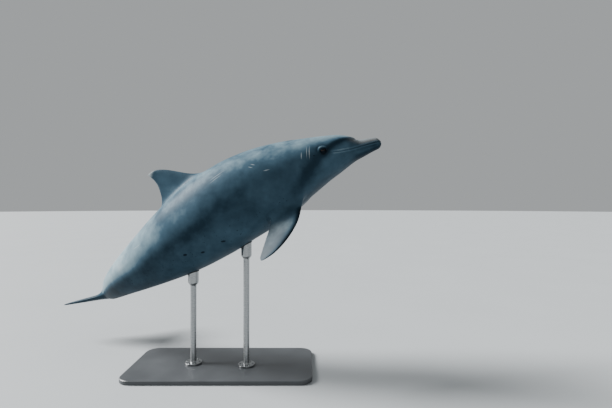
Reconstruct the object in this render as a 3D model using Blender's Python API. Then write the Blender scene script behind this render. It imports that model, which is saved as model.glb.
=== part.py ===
"""Bottlenose dolphin: a life-size display model, banked on a plain stand.

Units are metres and +Z is up. The origin is the centre of the underside of the stand's base.
The dolphin heads along +X with its nose up, and its tail swings round to its left, +Y.

The body is one smooth form described along its spine. Stations give the depth, width and
fullness of the cross-sections, and bends curve the spine into the pose. Cross-cuts part the form
into its lengths. Fins, flippers and flukes are blades that stop just short of the body, and the
eyes sit in sockets of the head.
"""

from collections import namedtuple
from math import cos, exp, pi, radians, sin

import bmesh
import bpy
import numpy as np
from mathutils import Matrix

# Driving sizes. Stations are shares of the reference length, counted back to the notch between the
# flukes. The snout lies at the first of them.
LENGTH = 2.40
GAP = 0.0003
WELD = 0.00001
SIDES = 32
HALF_RING = SIDES // 2 + 3

# Pose of the body at the flippers, and where that point of the spine stands.
FLIPPER_STATION = 0.26
NOSE_UP = 24.0
LEFT_SIDE_DOWN = 6.0
HEAD_LEANS_LEFT = 8.0
HEAD_LEAN_START, HEAD_LEAN_LENGTH = 0.14, 0.14
SPINE_PLACE = (0.34, -0.04, 1.10)

# Bends of the spine: arch lowers what lies behind it and turn swings it to the left, in degrees.
Bend = namedtuple("Bend", "start length arch turn")
BENDS = (
    Bend(0.11, 0.16, 5.5, 0.0),
    Bend(0.23, 0.30, 11.0, 8.5),
    Bend(0.43, 0.34, -6.0, 12.5),
    Bend(0.63, 0.30, -4.5, 30.0),
    Bend(0.83, 0.16, 5.5, 7.5),
)
SPINE_STEPS = 400

# Cross-sections, in hundredths of the length: where, height of the back and depth of the belly
# from the spine, and half the width. Fullness is 2 for an ellipse and less for a keeled section.
Station = namedtuple("Station", "at back belly half_width fullness")
STATIONS = (
    Station(0.55, 1.05, 1.30, 1.05, 2.2),
    Station(1.6, 1.40, 1.42, 1.30, 2.3),
    Station(3.0, 1.66, 1.60, 1.54, 2.4),
    Station(4.6, 1.89, 1.88, 1.86, 2.4),
    Station(5.6, 2.10, 2.06, 2.14, 2.4),
    Station(6.6, 2.98, 2.22, 2.56, 2.3),
    Station(8.0, 3.98, 2.54, 3.42, 2.2),
    Station(10.0, 4.80, 3.22, 4.48, 2.15),
    Station(12.0, 5.26, 3.92, 5.31, 2.15),
    Station(14.5, 5.78, 4.72, 6.07, 2.15),
    Station(18.0, 6.54, 5.98, 7.08, 2.15),
    Station(22.0, 7.66, 7.36, 7.90, 2.15),
    Station(26.0, 8.54, 8.64, 8.43, 2.15),
    Station(30.0, 9.16, 9.62, 8.82, 2.15),
    Station(36.0, 9.66, 10.27, 9.11, 2.15),
    Station(43.0, 9.87, 10.37, 9.18, 2.1),
    Station(50.0, 9.46, 9.76, 8.72, 2.05),
    Station(57.0, 8.50, 8.60, 7.66, 2.0),
    Station(64.0, 7.17, 7.07, 6.17, 1.95),
    Station(70.0, 5.98, 5.78, 4.89, 1.9),
    Station(76.0, 4.80, 4.61, 3.73, 1.85),
    Station(82.0, 3.83, 3.73, 2.75, 1.8),
    Station(88.0, 2.96, 2.96, 1.95, 1.8),
    Station(92.0, 2.15, 2.15, 1.50, 1.85),
    Station(96.0, 1.15, 1.15, 1.15, 2.0),
    Station(100.0, 0.25, 0.25, 0.55, 2.0),
)
SNOUT = 0.0055
NOSE_ROUNDING = 0.011
CHEST_SAG = 0.06
CHEST_SAG_AT, CHEST_SAG_SPREAD = 0.30, 0.25

# The closed mouth runs back from the snout and curls up at the corner, below the eye.
MOUTH_LINE = ((0.5, -0.20), (3.0, -0.12), (5.5, -0.18), (8.5, -0.50), (11.0, -0.62), (12.8, -0.48))
MOUTH_CORNER = 0.128

# Where the body is parted, from the snout to the notch.
ROSTRUM_BASE = 0.060
NAPE = 0.165
SHOULDER = 0.212
WAIST = 0.365
LOIN = 0.570
STOCK = 0.740
STATION_STEP = 0.020
SNOUT_STEP = 0.0075
NOSE_STEP = 0.0022
NOSE_FLAT = 0.0001

EYE_STATION = 0.1467
EYE_HEIGHT = 0.0030
EYE_RADIUS = 0.0145
EYE_PROUD = 0.0040

# Blades. Each outline is a pair of Bezier curves from the root to the tip, in shares of the length:
# (back, up) for the dorsal fin, (out, back) for the flippers and (back, out) for the flukes.
BLADE_POINTS = 18
BLADE_SPANS = 11
BLADE_ROOT, BLADE_TIP = -0.12, 0.985
BLADE_TAPER = 0.86
BLADE_FLARE, BLADE_FLARE_END = 0.35, 0.12
EDGE_THICKNESS = 0.0022

DORSAL_STATION = 0.4103
DORSAL_BASE, DORSAL_HEIGHT = 0.146, 0.096
DORSAL_TIP = (0.130, DORSAL_HEIGHT)
DORSAL_LEAD = ((0.0, 0.0), (0.055, 0.033), (0.075, 0.098), DORSAL_TIP)
DORSAL_TRAIL = ((DORSAL_BASE, 0.0), (0.117, 0.021), (0.107, 0.075), DORSAL_TIP)
DORSAL_ROOT = ((-0.012, -0.022), (0.150, -0.022))
DORSAL_THICKNESS = 0.046
DORSAL_SINK = 0.004

FLIPPER_ROOT_STATION = 0.2627
FLIPPER_ROOT_ANGLE = 56.0
FLIPPER_ROOT_INSET = 0.93
FLIPPER_TWIST = 2.0
Hold = namedtuple("Hold", "side droop sweep")
FLIPPER_HOLDS = {"flipper_right": Hold(-1, 52.5, 27.0), "flipper_left": Hold(1, 12.0, 55.0)}
FLIPPER_TIP = (0.151, 0.0355)
FLIPPER_LEAD = ((0.0, -0.0315), (0.050, -0.0378), (0.121, -0.0172), FLIPPER_TIP)
FLIPPER_TRAIL = ((0.0075, 0.0401), (0.0634, 0.0287), (0.139, 0.0430), FLIPPER_TIP)
FLIPPER_ROOT = ((-0.032, -0.0287), (-0.032, 0.0355))
FLIPPER_THICKNESS = 0.034

FLUKE_STATION = 0.93
FLUKE_DROP = 0.008
FLUKE_RISE = 0.20
FLUKE_PITCH = 9.0
FLUKE_TIP = (0.092, 0.115)
FLUKE_LEAD = ((-0.034, 0.003), (0.024, 0.061), (0.064, 0.103), FLUKE_TIP)
FLUKE_TRAIL = ((0.069, 0.0035), (0.080, 0.022), (0.077, 0.088), FLUKE_TIP)
FLUKE_ROOT = ((-0.036, 0.0022), (0.0675, 0.0022))
FLUKE_THICKNESS = 0.030

# Stand.
BASE_LENGTH, BASE_WIDTH, BASE_THICKNESS = 1.04, 0.50, 0.024
BASE_CORNER, BASE_CHAMFER = 0.070, 0.003
CORNER_POINTS = 10
ROD_RADIUS, FLANGE_RADIUS, FLANGE_THICKNESS = 0.017, 0.048, 0.010
FLANGE_ROUND, WELD_BEAD = 0.002, 0.004
CUP_RADIUS, CUP_HEIGHT, CUP_REACH = 0.030, 0.070, 0.030
CUP_SEARCH_STEPS, CUP_SEARCH_TURN = 20, 0.5
ROD_SIDES = 22
ROD_STATIONS = {"stand_rod_front": 0.415, "stand_rod_rear": 0.565}


def hex_colour(text):
    """The linear RGBA value of an sRGB colour written as six hex digits."""
    channels = [int(text[i : i + 2], 16) / 255 for i in (0, 2, 4)]
    return tuple(c / 12.92 if c <= 0.04045 else ((c + 0.055) / 1.055) ** 2.4 for c in channels) + (1.0,)


def material(name, colour, roughness, metallic=0.0):
    """A named Principled BSDF finish."""
    made = bpy.data.materials.get(name) or bpy.data.materials.new(name)
    made.use_nodes = True
    shader = made.node_tree.nodes["Principled BSDF"]
    shader.inputs["Base Color"].default_value = hex_colour(colour)
    shader.inputs["Roughness"].default_value = roughness
    shader.inputs["Metallic"].default_value = metallic
    return made


# ---------------------------------------------------------------- curves


def ease(share):
    """A smooth step from 0 to 1, level at both ends."""
    share = np.clip(share, 0.0, 1.0)
    return share**3 * (share * (6.0 * share - 15.0) + 10.0)


def smooth_curve(places, values):
    """A function through the given points that is smooth and doesn't overshoot them."""
    places, values = np.asarray(places, float), np.asarray(values, float)
    step = np.diff(places)
    slope = np.diff(values) / step
    tangent = np.concatenate((slope[:1], np.zeros(len(slope) - 1), slope[-1:]))
    for i in range(1, len(slope)):
        if slope[i - 1] * slope[i] > 0.0:
            near, far = 2.0 * step[i] + step[i - 1], step[i] + 2.0 * step[i - 1]
            tangent[i] = (near + far) / (near / slope[i - 1] + far / slope[i])

    def value(place):
        i = int(np.clip(np.searchsorted(places, place, side="right") - 1, 0, len(step) - 1))
        t = (place - places[i]) / step[i]
        start = values[i] * (2.0 * t**3 - 3.0 * t**2 + 1.0) + tangent[i] * step[i] * (t**3 - 2.0 * t**2 + t)
        end = values[i + 1] * (3.0 * t**2 - 2.0 * t**3) + tangent[i + 1] * step[i] * (t**3 - t**2)
        return float(start + end)

    return value


def bezier(corners, share):
    """The point of a cubic Bezier curve at a share of its way."""
    start, leave, arrive, end = (np.asarray(corner, float) for corner in corners)
    rest = 1.0 - share
    pull = 3.0 * rest**2 * share * leave + 3.0 * rest * share**2 * arrive
    return rest**3 * start + pull + share**3 * end


# ---------------------------------------------------------------- spine and body


def spine_table():
    """Places and axes (forward, left, up) of the spine at equal steps from snout to notch."""
    at = np.linspace(0.0, 1.0, SPINE_STEPS + 1)
    arch = sum(radians(b.arch) * ease((at - b.start) / b.length) for b in BENDS)
    turn = sum(radians(b.turn) * ease((at - b.start) / b.length) for b in BENDS)
    middle = int(round(FLIPPER_STATION * SPINE_STEPS))
    arch, turn = arch - arch[middle], turn[middle] - turn
    lean = radians(HEAD_LEANS_LEFT) * (1.0 - ease((at - HEAD_LEAN_START) / HEAD_LEAN_LENGTH))
    forward = np.stack((np.cos(arch) * np.cos(turn), np.cos(arch) * np.sin(turn), np.sin(arch)), 1)
    up = np.stack((-np.sin(arch) * np.cos(turn), -np.sin(arch) * np.sin(turn), np.cos(arch)), 1)
    left = np.cross(up, forward)
    up = up * np.cos(lean)[:, None] + left * np.sin(lean)[:, None]
    left = np.cross(up, forward)
    places = np.zeros_like(forward)
    places[1:] = np.cumsum((forward[1:] + forward[:-1]) * (-0.5 * LENGTH / SPINE_STEPS), axis=0)
    pose = Matrix.Rotation(radians(-NOSE_UP), 3, "Y") @ Matrix.Rotation(radians(-LEFT_SIDE_DOWN), 3, "X")
    pose = np.array(pose)
    places = (places - places[middle]) @ pose.T + np.array(SPINE_PLACE)
    return at, places, forward @ pose.T, left @ pose.T, up @ pose.T


SPINE = spine_table()
BACK, BELLY, HALF_WIDTH, FULLNESS = (
    smooth_curve([s.at / 100 for s in STATIONS], [getattr(s, field) * scale for s in STATIONS])
    for field, scale in (
        ("back", LENGTH / 100),
        ("belly", LENGTH / 100),
        ("half_width", LENGTH / 100),
        ("fullness", 1.0),
    )
)
MOUTH = smooth_curve([x / 100 for x, _ in MOUTH_LINE], [z * LENGTH / 100 for _, z in MOUTH_LINE])


def spine_frame(at):
    """Place, forward, left and up of the spine at a share of the length, straight past its ends."""
    row = [np.array([np.interp(at, SPINE[0], column[:, k]) for k in range(3)]) for column in SPINE[1:]]
    overrun = at - min(max(at, 0.0), 1.0)
    row[0] = row[0] - row[1] * overrun * LENGTH
    return row


def place(at, left, up):
    """The world point that lies so far left of and above the spine."""
    origin, _, left_axis, up_axis = spine_frame(at)
    return origin + left_axis * left + up_axis * up


def section(at):
    """Back, belly, widest level, half width and fullness of the cross-section, heights from the spine."""
    back, belly, half_width = BACK(at), -BELLY(at), HALF_WIDTH(at)
    sag = CHEST_SAG * exp(-(((at - CHEST_SAG_AT) / CHEST_SAG_SPREAD) ** 2))
    level = (back + belly) / 2.0 - sag * (back - belly)
    if at < SNOUT + NOSE_ROUNDING:
        shrink = max(1.0 - (1.0 - (at - SNOUT) / NOSE_ROUNDING) ** 2, 0.0) ** 0.5
        back, belly = level + (back - level) * shrink, level + (belly - level) * shrink
        half_width *= shrink
    return back, belly, level, half_width, FULLNESS(at)


def outline_point(at, angle, grow=0.0):
    """Left and up, in the cross-section, of the skin at an angle from the back towards the left."""
    back, belly, level, half_width, fullness = section(at)
    along, across = cos(angle), sin(angle)
    reach = (back - level if along >= 0.0 else level - belly) + grow
    round_off = 2.0 / fullness
    left = (half_width + grow) * abs(across) ** round_off * (1.0 if across >= 0.0 else -1.0)
    up = level + reach * abs(along) ** round_off * (1.0 if along >= 0.0 else -1.0)
    return left, up


def whole_ring(at, grow=0.0):
    """The ring of points round the body at a station."""
    return [place(at, *outline_point(at, 2.0 * pi * i / SIDES, grow)) for i in range(SIDES)]


def stations_between(start, end, step=STATION_STEP):
    """Stations from start to end, evenly spaced and no further apart than the step."""
    count = max(int(np.ceil((end - start) / step)), 1)
    return [start + (end - start) * i / count for i in range(count + 1)]


def angle_at_height(at, up):
    """The angle from the back at which the skin is at a height in the cross-section."""
    back, belly, level, _, fullness = section(at)
    share = (up - level) / (back - level) if up >= level else (up - level) / (level - belly)
    along = min(abs(share), 1.0) ** (fullness / 2.0)
    return float(np.arccos(along if share >= 0.0 else -along))


def chord(at, end_angle, up, count):
    """Points straight across the section at one height, from its left side to its right."""
    left, _ = outline_point(at, end_angle)
    return [place(at, left * (1.0 - 2.0 * i / (count - 1)), up) for i in range(count)]


def arc(at, start, end, count):
    """Points along the skin of one section between two angles."""
    return [place(at, *outline_point(at, start + (end - start) * i / (count - 1))) for i in range(count)]


def above_mouth(at):
    """The ring of the part of a section above the closed mouth."""
    up = MOUTH(at) + GAP / 2.0
    end = angle_at_height(at, up)
    return arc(at, -end, end, HALF_RING) + chord(at, end, up, HALF_RING)[1:-1]


def below_mouth(at):
    """The ring of the part of a section below the closed mouth."""
    up = MOUTH(at) - GAP / 2.0
    end = angle_at_height(at, up)
    return arc(at, end, 2.0 * pi - end, HALF_RING) + chord(at, end, up, HALF_RING)[-2:0:-1]


def behind_mouth(at):
    """The whole section in the same number of points as a section above the mouth."""
    end = angle_at_height(at, MOUTH(min(at, MOUTH_CORNER)) + GAP / 2.0)
    lower = arc(at, end, 2.0 * pi - end, HALF_RING)
    return arc(at, -end, end, HALF_RING) + lower[1:-1]


# ---------------------------------------------------------------- objects


def add_object(name, mesh_builder, finish):
    """A smooth-shaded object from a builder that fills a bmesh with one closed body."""
    mesh = bpy.data.meshes.new(name)
    bm = bmesh.new()
    mesh_builder(bm)
    bmesh.ops.remove_doubles(bm, verts=bm.verts, dist=WELD)
    bmesh.ops.recalc_face_normals(bm, faces=bm.faces)
    bm.to_mesh(mesh)
    bm.free()
    mesh.shade_smooth()
    mesh.set_sharp_from_angle(angle=radians(40.0))
    mesh.materials.append(finish)
    made = bpy.data.objects.new(name, mesh)
    bpy.context.scene.collection.objects.link(made)
    return made


def loft(name, rings, finish):
    """One closed body through rings with equal numbers of points, capped flat at both ends.

    The sides are triangles split the same way everywhere, so that a guide runs parallel to the body.
    """

    def build(bm):
        loops = [[bm.verts.new(point) for point in ring] for ring in rings]
        for near, far in zip(loops, loops[1:]):
            for i in range(len(near)):
                following = (i + 1) % len(near)
                bm.faces.new((near[i], near[following], far[following]))
                bm.faces.new((near[i], far[following], far[i]))
        bm.faces.new(loops[0][::-1])
        bm.faces.new(loops[-1])

    return add_object(name, build, finish)


def ball(name, centre, radius, finish, rings=8, segments=14):
    """A sphere."""

    def build(bm):
        bmesh.ops.create_uvsphere(bm, u_segments=segments, v_segments=rings, radius=radius)
        bmesh.ops.translate(bm, verts=bm.verts, vec=tuple(centre))

    return add_object(name, build, finish)


def as_cutter(made):
    """Marks an object as a guide that only cuts others."""
    made.hide_render = True
    made.display_type = "WIRE"
    return made


def cut_with(made, cutter):
    """Takes the cutter's volume away from an object."""
    cut = made.modifiers.new(cutter.name, "BOOLEAN")
    cut.operation = "DIFFERENCE"
    cut.solver = "EXACT"
    cut.object = cutter


# ---------------------------------------------------------------- flesh


def head_nodes(finish, pale_finish, socket_cutters):
    """The upper jaw, the lower jaw, and the head with its eye sockets."""
    cut = GAP / 2.0 / LENGTH
    nose_end = SNOUT + NOSE_ROUNDING
    nose = stations_between(SNOUT + NOSE_FLAT, nose_end, NOSE_STEP)
    front = nose + stations_between(nose_end, ROSTRUM_BASE, SNOUT_STEP)[1:]
    over_mouth = stations_between(ROSTRUM_BASE, MOUTH_CORNER, SNOUT_STEP)
    behind = stations_between(MOUTH_CORNER, NAPE - cut, SNOUT_STEP)
    upper = front[:-1] + [ROSTRUM_BASE - cut]
    loft("upper_jaw", [above_mouth(at) for at in upper], finish)
    jaw = front + over_mouth[1:-1] + [MOUTH_CORNER - 2.0 * cut]
    loft("lower_jaw", [below_mouth(at) for at in jaw], pale_finish)
    over_mouth[0] += cut
    head = loft("head", [above_mouth(at) for at in over_mouth] + [behind_mouth(at) for at in behind], finish)
    for cutter in socket_cutters:
        cut_with(head, cutter)


BODY_LENGTHS = {
    "neck": (NAPE, SHOULDER),
    "chest": (SHOULDER, WAIST),
    "midbody": (WAIST, LOIN),
    "hindbody": (LOIN, STOCK),
    "tail_stock": (STOCK, 1.0),
}


def body_nodes(finish):
    """The lengths of the body behind the head, each a loft with a thin cut at its ends."""
    for name, (start, end) in BODY_LENGTHS.items():
        front = start + GAP / 2.0 / LENGTH
        rear = end if end == 1.0 else end - GAP / 2.0 / LENGTH
        loft(name, [whole_ring(at) for at in stations_between(front, rear)], finish)


def body_guide(finish):
    """The body from the nape back, swollen by the gap, which cuts what meets it."""
    stations = [NAPE]
    for start, end in BODY_LENGTHS.values():
        stations += stations_between(start, end)[1:]
    return as_cutter(loft("body_guide", [whole_ring(at, grow=GAP) for at in stations], finish))


def eye_place(side):
    """Where the skin lies over an eye, and the way it faces. Side is 1 for left and -1 for right."""
    angle = side * angle_at_height(EYE_STATION, EYE_HEIGHT * LENGTH)
    skin = place(EYE_STATION, *outline_point(EYE_STATION, angle))
    along = place(EYE_STATION + 0.004, *outline_point(EYE_STATION + 0.004, angle)) - skin
    round_skin = place(EYE_STATION, *outline_point(EYE_STATION, angle + side * 0.05)) - skin
    outward = np.cross(round_skin, along) * side
    return skin, outward / np.linalg.norm(outward)


def eyes(finish):
    """The eyeballs, and the cutters of their sockets."""
    cutters = []
    for name, side in (("eye_left", 1), ("eye_right", -1)):
        skin, outward = eye_place(side)
        centre = skin - outward * (EYE_RADIUS - EYE_PROUD)
        ball(name, centre, EYE_RADIUS, finish)
        cutters.append(as_cutter(ball(name + "_socket_guide", centre, EYE_RADIUS + 1.5 * GAP, finish)))
    return cutters


# ---------------------------------------------------------------- blades


def blade_half_thickness(share):
    """Half the thickness of a streamlined section, as a share of its greatest, behind its front edge."""
    return 10.0 * (
        0.2969 * share**0.5 - 0.1260 * share - 0.3516 * share**2 + 0.2843 * share**3 - 0.1015 * share**4
    ) / 2.0


def blade_ring(front, back, normal, thickness):
    """A streamlined ring between a front and a back edge point."""
    ring = []
    for i in range(BLADE_POINTS):
        turn = 2.0 * pi * (i + 0.5) / BLADE_POINTS
        share = (1.0 - cos(turn)) / 2.0
        half = max(blade_half_thickness(share) * thickness, EDGE_THICKNESS / 2.0)
        ring.append(front + (back - front) * share + normal * (half if turn < pi else -half))
    return ring


def blade(name, outline, root_edge, point_at, face, root_thickness, finish, guide):
    """A fin from the front and back curves of its outline, drawn flat and set in place by point_at.

    Its root runs on inside the body and flares there, and the guide of the body trims it.
    """
    rings = []
    for i in range(-1, BLADE_SPANS):
        share = BLADE_ROOT if i < 0 else BLADE_TIP * sin(pi / 2.0 * i / (BLADE_SPANS - 1))
        front, back = root_edge if i < 0 else (bezier(curve, share) for curve in outline)
        thickness = root_thickness * (1.0 - BLADE_TAPER * max(share, 0.0) ** 0.9)
        inward = max(BLADE_FLARE_END - share, 0.0) / (BLADE_FLARE_END - BLADE_ROOT)
        thickness *= 1.0 + BLADE_FLARE * inward**2
        rings.append(blade_ring(point_at(*front), point_at(*back), face, thickness))
    cut_with(loft(name, rings, finish), guide)


def dorsal_fin(finish, guide):
    """The hooked fin on the back."""

    def on_back(back, up):
        at = DORSAL_STATION + back
        return place(at, 0.0, BACK(at) + (up - DORSAL_SINK) * LENGTH)

    face = spine_frame(DORSAL_STATION + DORSAL_BASE / 2.0)[2]
    outline = (DORSAL_LEAD, DORSAL_TRAIL)
    blade("dorsal_fin", outline, DORSAL_ROOT, on_back, face, DORSAL_THICKNESS, finish, guide)


def flipper(name, hold, finish, guide):
    """A flipper, hanging and swept back by the angles of its hold."""
    origin, forward, left, up = spine_frame(FLIPPER_ROOT_STATION)
    _, belly, level, half_width, _ = section(FLIPPER_ROOT_STATION)
    angle = radians(FLIPPER_ROOT_ANGLE)
    outer = left * hold.side
    root = origin + outer * half_width * cos(angle) * FLIPPER_ROOT_INSET
    root = root + up * (level - (level - belly) * sin(angle) * FLIPPER_ROOT_INSET)
    droop, sweep, twist = radians(hold.droop), radians(hold.sweep), radians(FLIPPER_TWIST)
    outward = outer * cos(droop) - up * sin(droop)
    span = outward * cos(sweep) - forward * sin(sweep)
    rearward = -(outward * sin(sweep) + forward * cos(sweep))
    rearward = rearward * cos(twist) + np.cross(rearward, span) * hold.side * sin(twist)
    face = np.cross(span, rearward)

    def point_at(out, back):
        return root + span * out * LENGTH + rearward * back * LENGTH

    outline = (FLIPPER_LEAD, FLIPPER_TRAIL)
    blade(name, outline, FLIPPER_ROOT, point_at, face, FLIPPER_THICKNESS, finish, guide)


def fluke(name, side, finish, guide):
    """One lobe of the flukes. Side is 1 for left and -1 for right."""
    origin, forward, left, up = spine_frame(FLUKE_STATION)
    pitch = radians(FLUKE_PITCH)
    rearward = up * sin(pitch) - forward * cos(pitch)
    face = up * cos(pitch) + forward * sin(pitch)
    outer = left * side + up * FLUKE_RISE
    root = origin - up * FLUKE_DROP * LENGTH

    def point_at(back, out):
        return root + rearward * back * LENGTH + outer * out * LENGTH

    outline = (FLUKE_LEAD, FLUKE_TRAIL)
    blade(name, outline, FLUKE_ROOT, point_at, face, FLUKE_THICKNESS, finish, guide)


# ---------------------------------------------------------------- stand


def rounded_rectangle(length, width, corner, height):
    """A ring of points round a rectangle with round corners, about the origin."""
    ring = []
    for quarter, (sx, sy) in enumerate(((1, 1), (-1, 1), (-1, -1), (1, -1))):
        for i in range(CORNER_POINTS):
            turn = pi / 2.0 * (quarter + i / (CORNER_POINTS - 1))
            x = sx * (length / 2.0 - corner) + corner * cos(turn)
            y = sy * (width / 2.0 - corner) + corner * sin(turn)
            ring.append((x, y, height))
    return ring


def stand_base(finish):
    """The flat base plate, chamfered along its edges."""
    rings = []
    levels = ((0.0, 1), (BASE_CHAMFER, 0), (BASE_THICKNESS - BASE_CHAMFER, 0), (BASE_THICKNESS, 1))
    for height, inset in levels:
        trim = 2.0 * BASE_CHAMFER * inset
        rings.append(rounded_rectangle(BASE_LENGTH - trim, BASE_WIDTH - trim, BASE_CORNER, height))
    loft("stand_base", rings, finish)


def lowest_point(at):
    """The lowest point of the skin at a station."""
    steps = range(-CUP_SEARCH_STEPS, CUP_SEARCH_STEPS + 1)
    turns = [pi + CUP_SEARCH_TURN * i / CUP_SEARCH_STEPS for i in steps]
    return min((place(at, *outline_point(at, turn)) for turn in turns), key=lambda point: point[2])


def stand_rod(name, at, finish, guide):
    """An upright rod with a flange on the base, a bead of weld, and a cup that fits the belly."""
    x, y, top = (float(value) for value in lowest_point(at))
    foot = BASE_THICKNESS + GAP
    plate = foot + FLANGE_THICKNESS
    profile = (
        (FLANGE_RADIUS - FLANGE_ROUND, foot),
        (FLANGE_RADIUS, foot + FLANGE_ROUND),
        (FLANGE_RADIUS, plate - FLANGE_ROUND),
        (FLANGE_RADIUS - FLANGE_ROUND, plate),
        (ROD_RADIUS + WELD_BEAD, plate),
        (ROD_RADIUS + WELD_BEAD * 0.3, plate + WELD_BEAD * 0.5),
        (ROD_RADIUS, plate + WELD_BEAD * 1.5),
        (ROD_RADIUS, top - CUP_HEIGHT),
        (ROD_RADIUS * 1.25, top - CUP_HEIGHT * 0.80),
        (CUP_RADIUS, top - CUP_HEIGHT * 0.55),
        (CUP_RADIUS, top + CUP_REACH),
    )
    turns = [2.0 * pi * i / ROD_SIDES for i in range(ROD_SIDES)]
    rings = [[(x + r * cos(t), y + r * sin(t), z) for t in turns] for r, z in profile]
    cut_with(loft(name, rings, finish), guide)


def main():
    for old in list(bpy.data.objects):
        bpy.data.objects.remove(old)
    back = material("grey_back_skin", "6E7F8C", 0.42)
    pale = material("pale_belly_skin", "B7BEC2", 0.42)
    blades = material("dark_fin_skin", "56636E", 0.40)
    eye = material("dark_eye", "15120F", 0.08)
    paint = material("charcoal_paint", "2B2D30", 0.45)
    steel = material("brushed_steel", "B4B7BA", 0.28, 1.0)

    sockets = eyes(eye)
    head_nodes(back, pale, sockets)
    body_nodes(back)
    guide = body_guide(back)
    dorsal_fin(blades, guide)
    for name, hold in FLIPPER_HOLDS.items():
        flipper(name, hold, blades, guide)
    for name, side in (("fluke_left", 1), ("fluke_right", -1)):
        fluke(name, side, blades, guide)
    stand_base(paint)
    for name, at in ROD_STATIONS.items():
        stand_rod(name, at, steel, guide)


main()
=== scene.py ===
"""A life-size bottlenose dolphin on a plain display stand.

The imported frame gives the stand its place. One seamless skin covers the solids of flesh, glossy wet
eyeballs sit under modelled lids, and the stand gets its paint, brushed steel, screws and rubber pads.
Everything is in metres, in the frame's own axes: the dolphin heads along +X, its left side faces +Y,
and +Z is up.
"""

from __future__ import annotations

import logging
import math
from collections.abc import Callable, Sequence
from dataclasses import dataclass
from enum import Enum
from functools import cached_property

import bpy
import numpy as np
from bpy.types import Light, Material, Mesh, NodeSocket, NodeTree, Object
from mathutils import Matrix, Vector


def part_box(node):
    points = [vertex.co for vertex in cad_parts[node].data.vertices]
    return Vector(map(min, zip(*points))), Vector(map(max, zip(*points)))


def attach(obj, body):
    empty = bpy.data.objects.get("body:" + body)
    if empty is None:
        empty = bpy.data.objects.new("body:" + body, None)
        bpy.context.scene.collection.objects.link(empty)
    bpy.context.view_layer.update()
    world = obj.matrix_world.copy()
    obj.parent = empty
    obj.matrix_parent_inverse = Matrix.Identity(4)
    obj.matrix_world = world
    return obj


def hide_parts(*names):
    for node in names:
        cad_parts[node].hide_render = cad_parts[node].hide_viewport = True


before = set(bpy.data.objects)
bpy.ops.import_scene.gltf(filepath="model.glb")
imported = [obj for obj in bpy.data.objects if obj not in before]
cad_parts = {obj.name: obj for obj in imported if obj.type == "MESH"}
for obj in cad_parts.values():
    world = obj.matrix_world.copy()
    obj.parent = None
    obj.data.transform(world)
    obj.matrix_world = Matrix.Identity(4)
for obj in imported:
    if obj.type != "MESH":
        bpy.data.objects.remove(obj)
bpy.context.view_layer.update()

LOG = logging.getLogger("dolphin")
Array = np.ndarray
Pair = tuple[float, float]
Point = tuple[float, float, float]
Placer = Callable[[Array, Array], Array]


# ---- shared curves


def ease(share: Array) -> Array:
    """A smooth step from 0 to 1 that is level at both ends."""
    share = np.clip(share, 0.0, 1.0)
    return share**3 * (share * (6.0 * share - 15.0) + 10.0)


def bell(distance: Array, spread: float) -> Array:
    """A smooth bump of height 1 that has faded to a third at the spread."""
    return np.exp(-((distance / spread) ** 2))


def bezier(corners: Sequence[Pair], share: Array) -> Array:
    """Points of a cubic Bezier curve.

    Args:
        corners: The start, the two handles and the end.
        share: How far along the curve each point is, from 0 to 1.

    Returns:
        One row for each point.
    """
    start, leave, arrive, end = (np.asarray(corner, float) for corner in corners)
    share = np.asarray(share, float)[:, None]
    rest = 1.0 - share
    pull = 3.0 * rest**2 * share * leave + 3.0 * rest * share**2 * arrive
    return rest**3 * start + pull + share**3 * end


def full_turn(count: int) -> Array:
    """Evenly spaced angles once round, without the last that would repeat the first."""
    return np.linspace(0.0, 2.0 * math.pi, count, endpoint=False)


def unrolled(angle: Array, middle: float) -> Array:
    """The same angles, each within half a turn of a middle one."""
    return middle + (angle - middle + math.pi) % (2.0 * math.pi) - math.pi


def monotone_curve(places: Array, values: Array, at: Array) -> Array:
    """Values of a curve through given points that doesn't overshoot them.

    Args:
        places: Where the curve is known, increasing.
        values: What it is there.
        at: Where it is wanted.

    Returns:
        The value at each wanted place.
    """
    step = np.diff(places)
    slope = np.diff(values) / step
    tangent = np.concatenate((slope[:1], np.zeros(len(slope) - 1), slope[-1:]))
    for i in range(1, len(slope)):
        if slope[i - 1] * slope[i] > 0.0:
            near, far = 2.0 * step[i] + step[i - 1], step[i] + 2.0 * step[i - 1]
            tangent[i] = (near + far) / (near / slope[i - 1] + far / slope[i])
    i = np.clip(np.searchsorted(places, at, side="right") - 1, 0, len(step) - 1)
    t = (at - places[i]) / step[i]
    near_end = values[i] * (2.0 * t**3 - 3.0 * t**2 + 1.0) + tangent[i] * step[i] * (t**3 - 2.0 * t**2 + t)
    far_end = values[i + 1] * (3.0 * t**2 - 2.0 * t**3) + tangent[i + 1] * step[i] * (t**3 - t**2)
    return near_end + far_end


def blurred(values: Array, spread: float) -> Array:
    """Evenly spaced values after a Gaussian blur that keeps both ends.

    Args:
        values: The values.
        spread: The blur's standard deviation, in steps.

    Returns:
        As many values.
    """
    reach = int(math.ceil(3.0 * spread))
    weights = np.exp(-0.5 * (np.arange(-reach, reach + 1) / spread) ** 2)
    before = 2.0 * values[0] - values[reach:0:-1]
    after = 2.0 * values[-1] - values[-2 : -reach - 2 : -1]
    return np.convolve(np.concatenate((before, values, after)), weights / weights.sum(), "valid")


# ---- meshes


def add_object(name: str, data: Mesh | Light | bpy.types.Camera) -> Object:
    """Adds an object to the scene."""
    made = bpy.data.objects.new(name, data)
    bpy.context.scene.collection.objects.link(made)
    return made


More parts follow.
